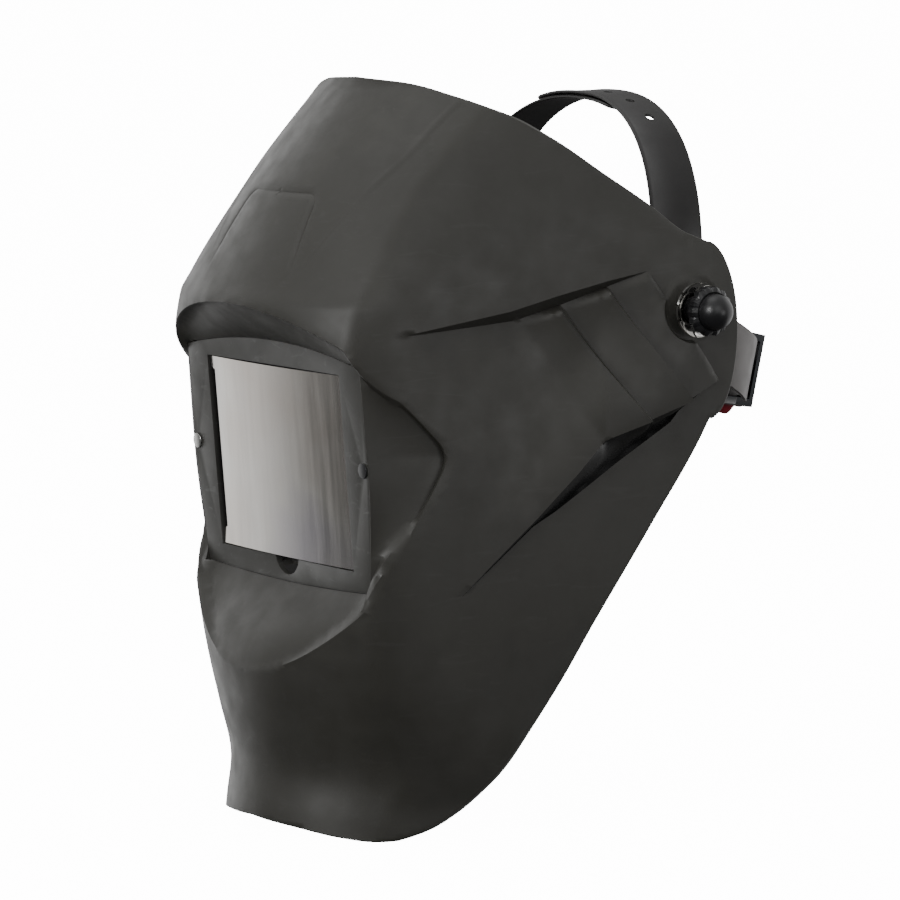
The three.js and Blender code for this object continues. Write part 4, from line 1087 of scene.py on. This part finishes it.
# ---------------------------------------------------------------- stage, light and camera
def floor():
    """White paper under the helmet. It lights nothing, and from below it is clear."""
    mesh = bpy.data.meshes.new("floor")
    half, level = 30.0, CAD_BOX[0][2] - 0.0008
    mesh.from_pydata([(-half, -half, level), (half, -half, level), (half, half, level), (-half, half, level)],
                     [], [(0, 1, 2, 3)])
    ground = linked("floor", mesh)
    ground.visible_diffuse = ground.visible_glossy = ground.visible_shadow = False
    material, shader = new_material("floor_paper", 0.9, specular=0.1)
    shader.inputs["Base Color"].default_value = (0.9, 0.9, 0.9, 1)
    shader.inputs["Emission Color"].default_value = (1, 1, 1, 1)
    shader.inputs["Emission Strength"].default_value = 14.0
    tree = material.node_tree
    side = tree.nodes.new("ShaderNodeNewGeometry")
    clear = tree.nodes.new("ShaderNodeBsdfTransparent")
    blend = tree.nodes.new("ShaderNodeMixShader")
    tree.links.new(side.outputs["Backfacing"], blend.inputs["Fac"])
    tree.links.new(shader.outputs["BSDF"], blend.inputs[1])
    tree.links.new(clear.outputs["BSDF"], blend.inputs[2])
    tree.links.new(blend.outputs["Shader"], tree.nodes["Material Output"].inputs["Surface"])
    mesh.materials.append(material)


def studio():
    """Surrounding light: bright overhead, a white wall towards -X, dark in front and below."""
    world = bpy.data.worlds.new("studio")
    world.use_nodes = True
    tree = world.node_tree
    place = tree.nodes.new("ShaderNodeTexCoord")
    parts = tree.nodes.new("ShaderNodeSeparateXYZ")
    tree.links.new(place.outputs["Generated"], parts.inputs["Vector"])

    def level(axis, stops):
        spread = tree.nodes.new("ShaderNodeMapRange")
        spread.inputs["From Min"].default_value = -1
        tree.links.new(parts.outputs[axis], spread.inputs["Value"])
        return ramp(tree, spread.outputs["Result"], [((at + 1) / 2, grey(value)) for at, value in stops])

    height = level("Z", [(-0.6, 0.03), (-0.1, 0.035), (0.25, 0.10), (0.7, 0.30)])
    wall = level("X", [(-0.90, 0.80), (-0.87, 0.60), (-0.83, 0.24), (-0.80, 0.06), (-0.76, 0.0)])
    behind = level("Y", [(0.70, 0.0), (0.85, 0.6)])
    light = mix(tree, 1.0, mix(tree, 1.0, height, wall, "ADD"), behind, "ADD")
    background = tree.nodes["Background"]
    tree.links.new(light, background.inputs["Color"])
    background.inputs["Strength"].default_value = 2.0
    bpy.context.scene.world = world


def soft_light(name, place, aim, size, power):
    data = bpy.data.lights.new(name, "AREA")
    data.size, data.energy = size, power
    lamp = linked(name, data)
    lamp.location = place
    lamp.rotation_euler = (Vector(aim) - Vector(place)).to_track_quat("-Z", "Y").to_euler()


def camera():
    ahead = Vector((-0.823206, 0.555260, -0.118404))
    right = Vector((0.559193, 0.829038, 0))
    up = right.cross(ahead)
    data = bpy.data.cameras.new("camera")
    data.lens, data.sensor_width, data.clip_end = 195.2, 36, 100
    eye = linked("camera", data)
    turned = Matrix((right, up, -ahead)).transposed().to_4x4()
    eye.matrix_world = Matrix.Translation((1.92925, -1.37140, 0.20566)) @ turned
    bpy.context.scene.camera = eye


floor()
soft_light("key", (0.6, -2.8, 0.9), (0, -0.1, 0), 0.9, 48)
soft_light("top", (-0.5, -0.4, 2.0), (0, 0, 0), 1.6, 9)
soft_light("fill", (2.2, -0.8, 0.9), (0, 0, -0.05), 1.6, 10)
soft_light("rear", (2.4, 0.6, 0.0), (0.1, -0.03, -0.03), 0.7, 7)
studio()
camera()
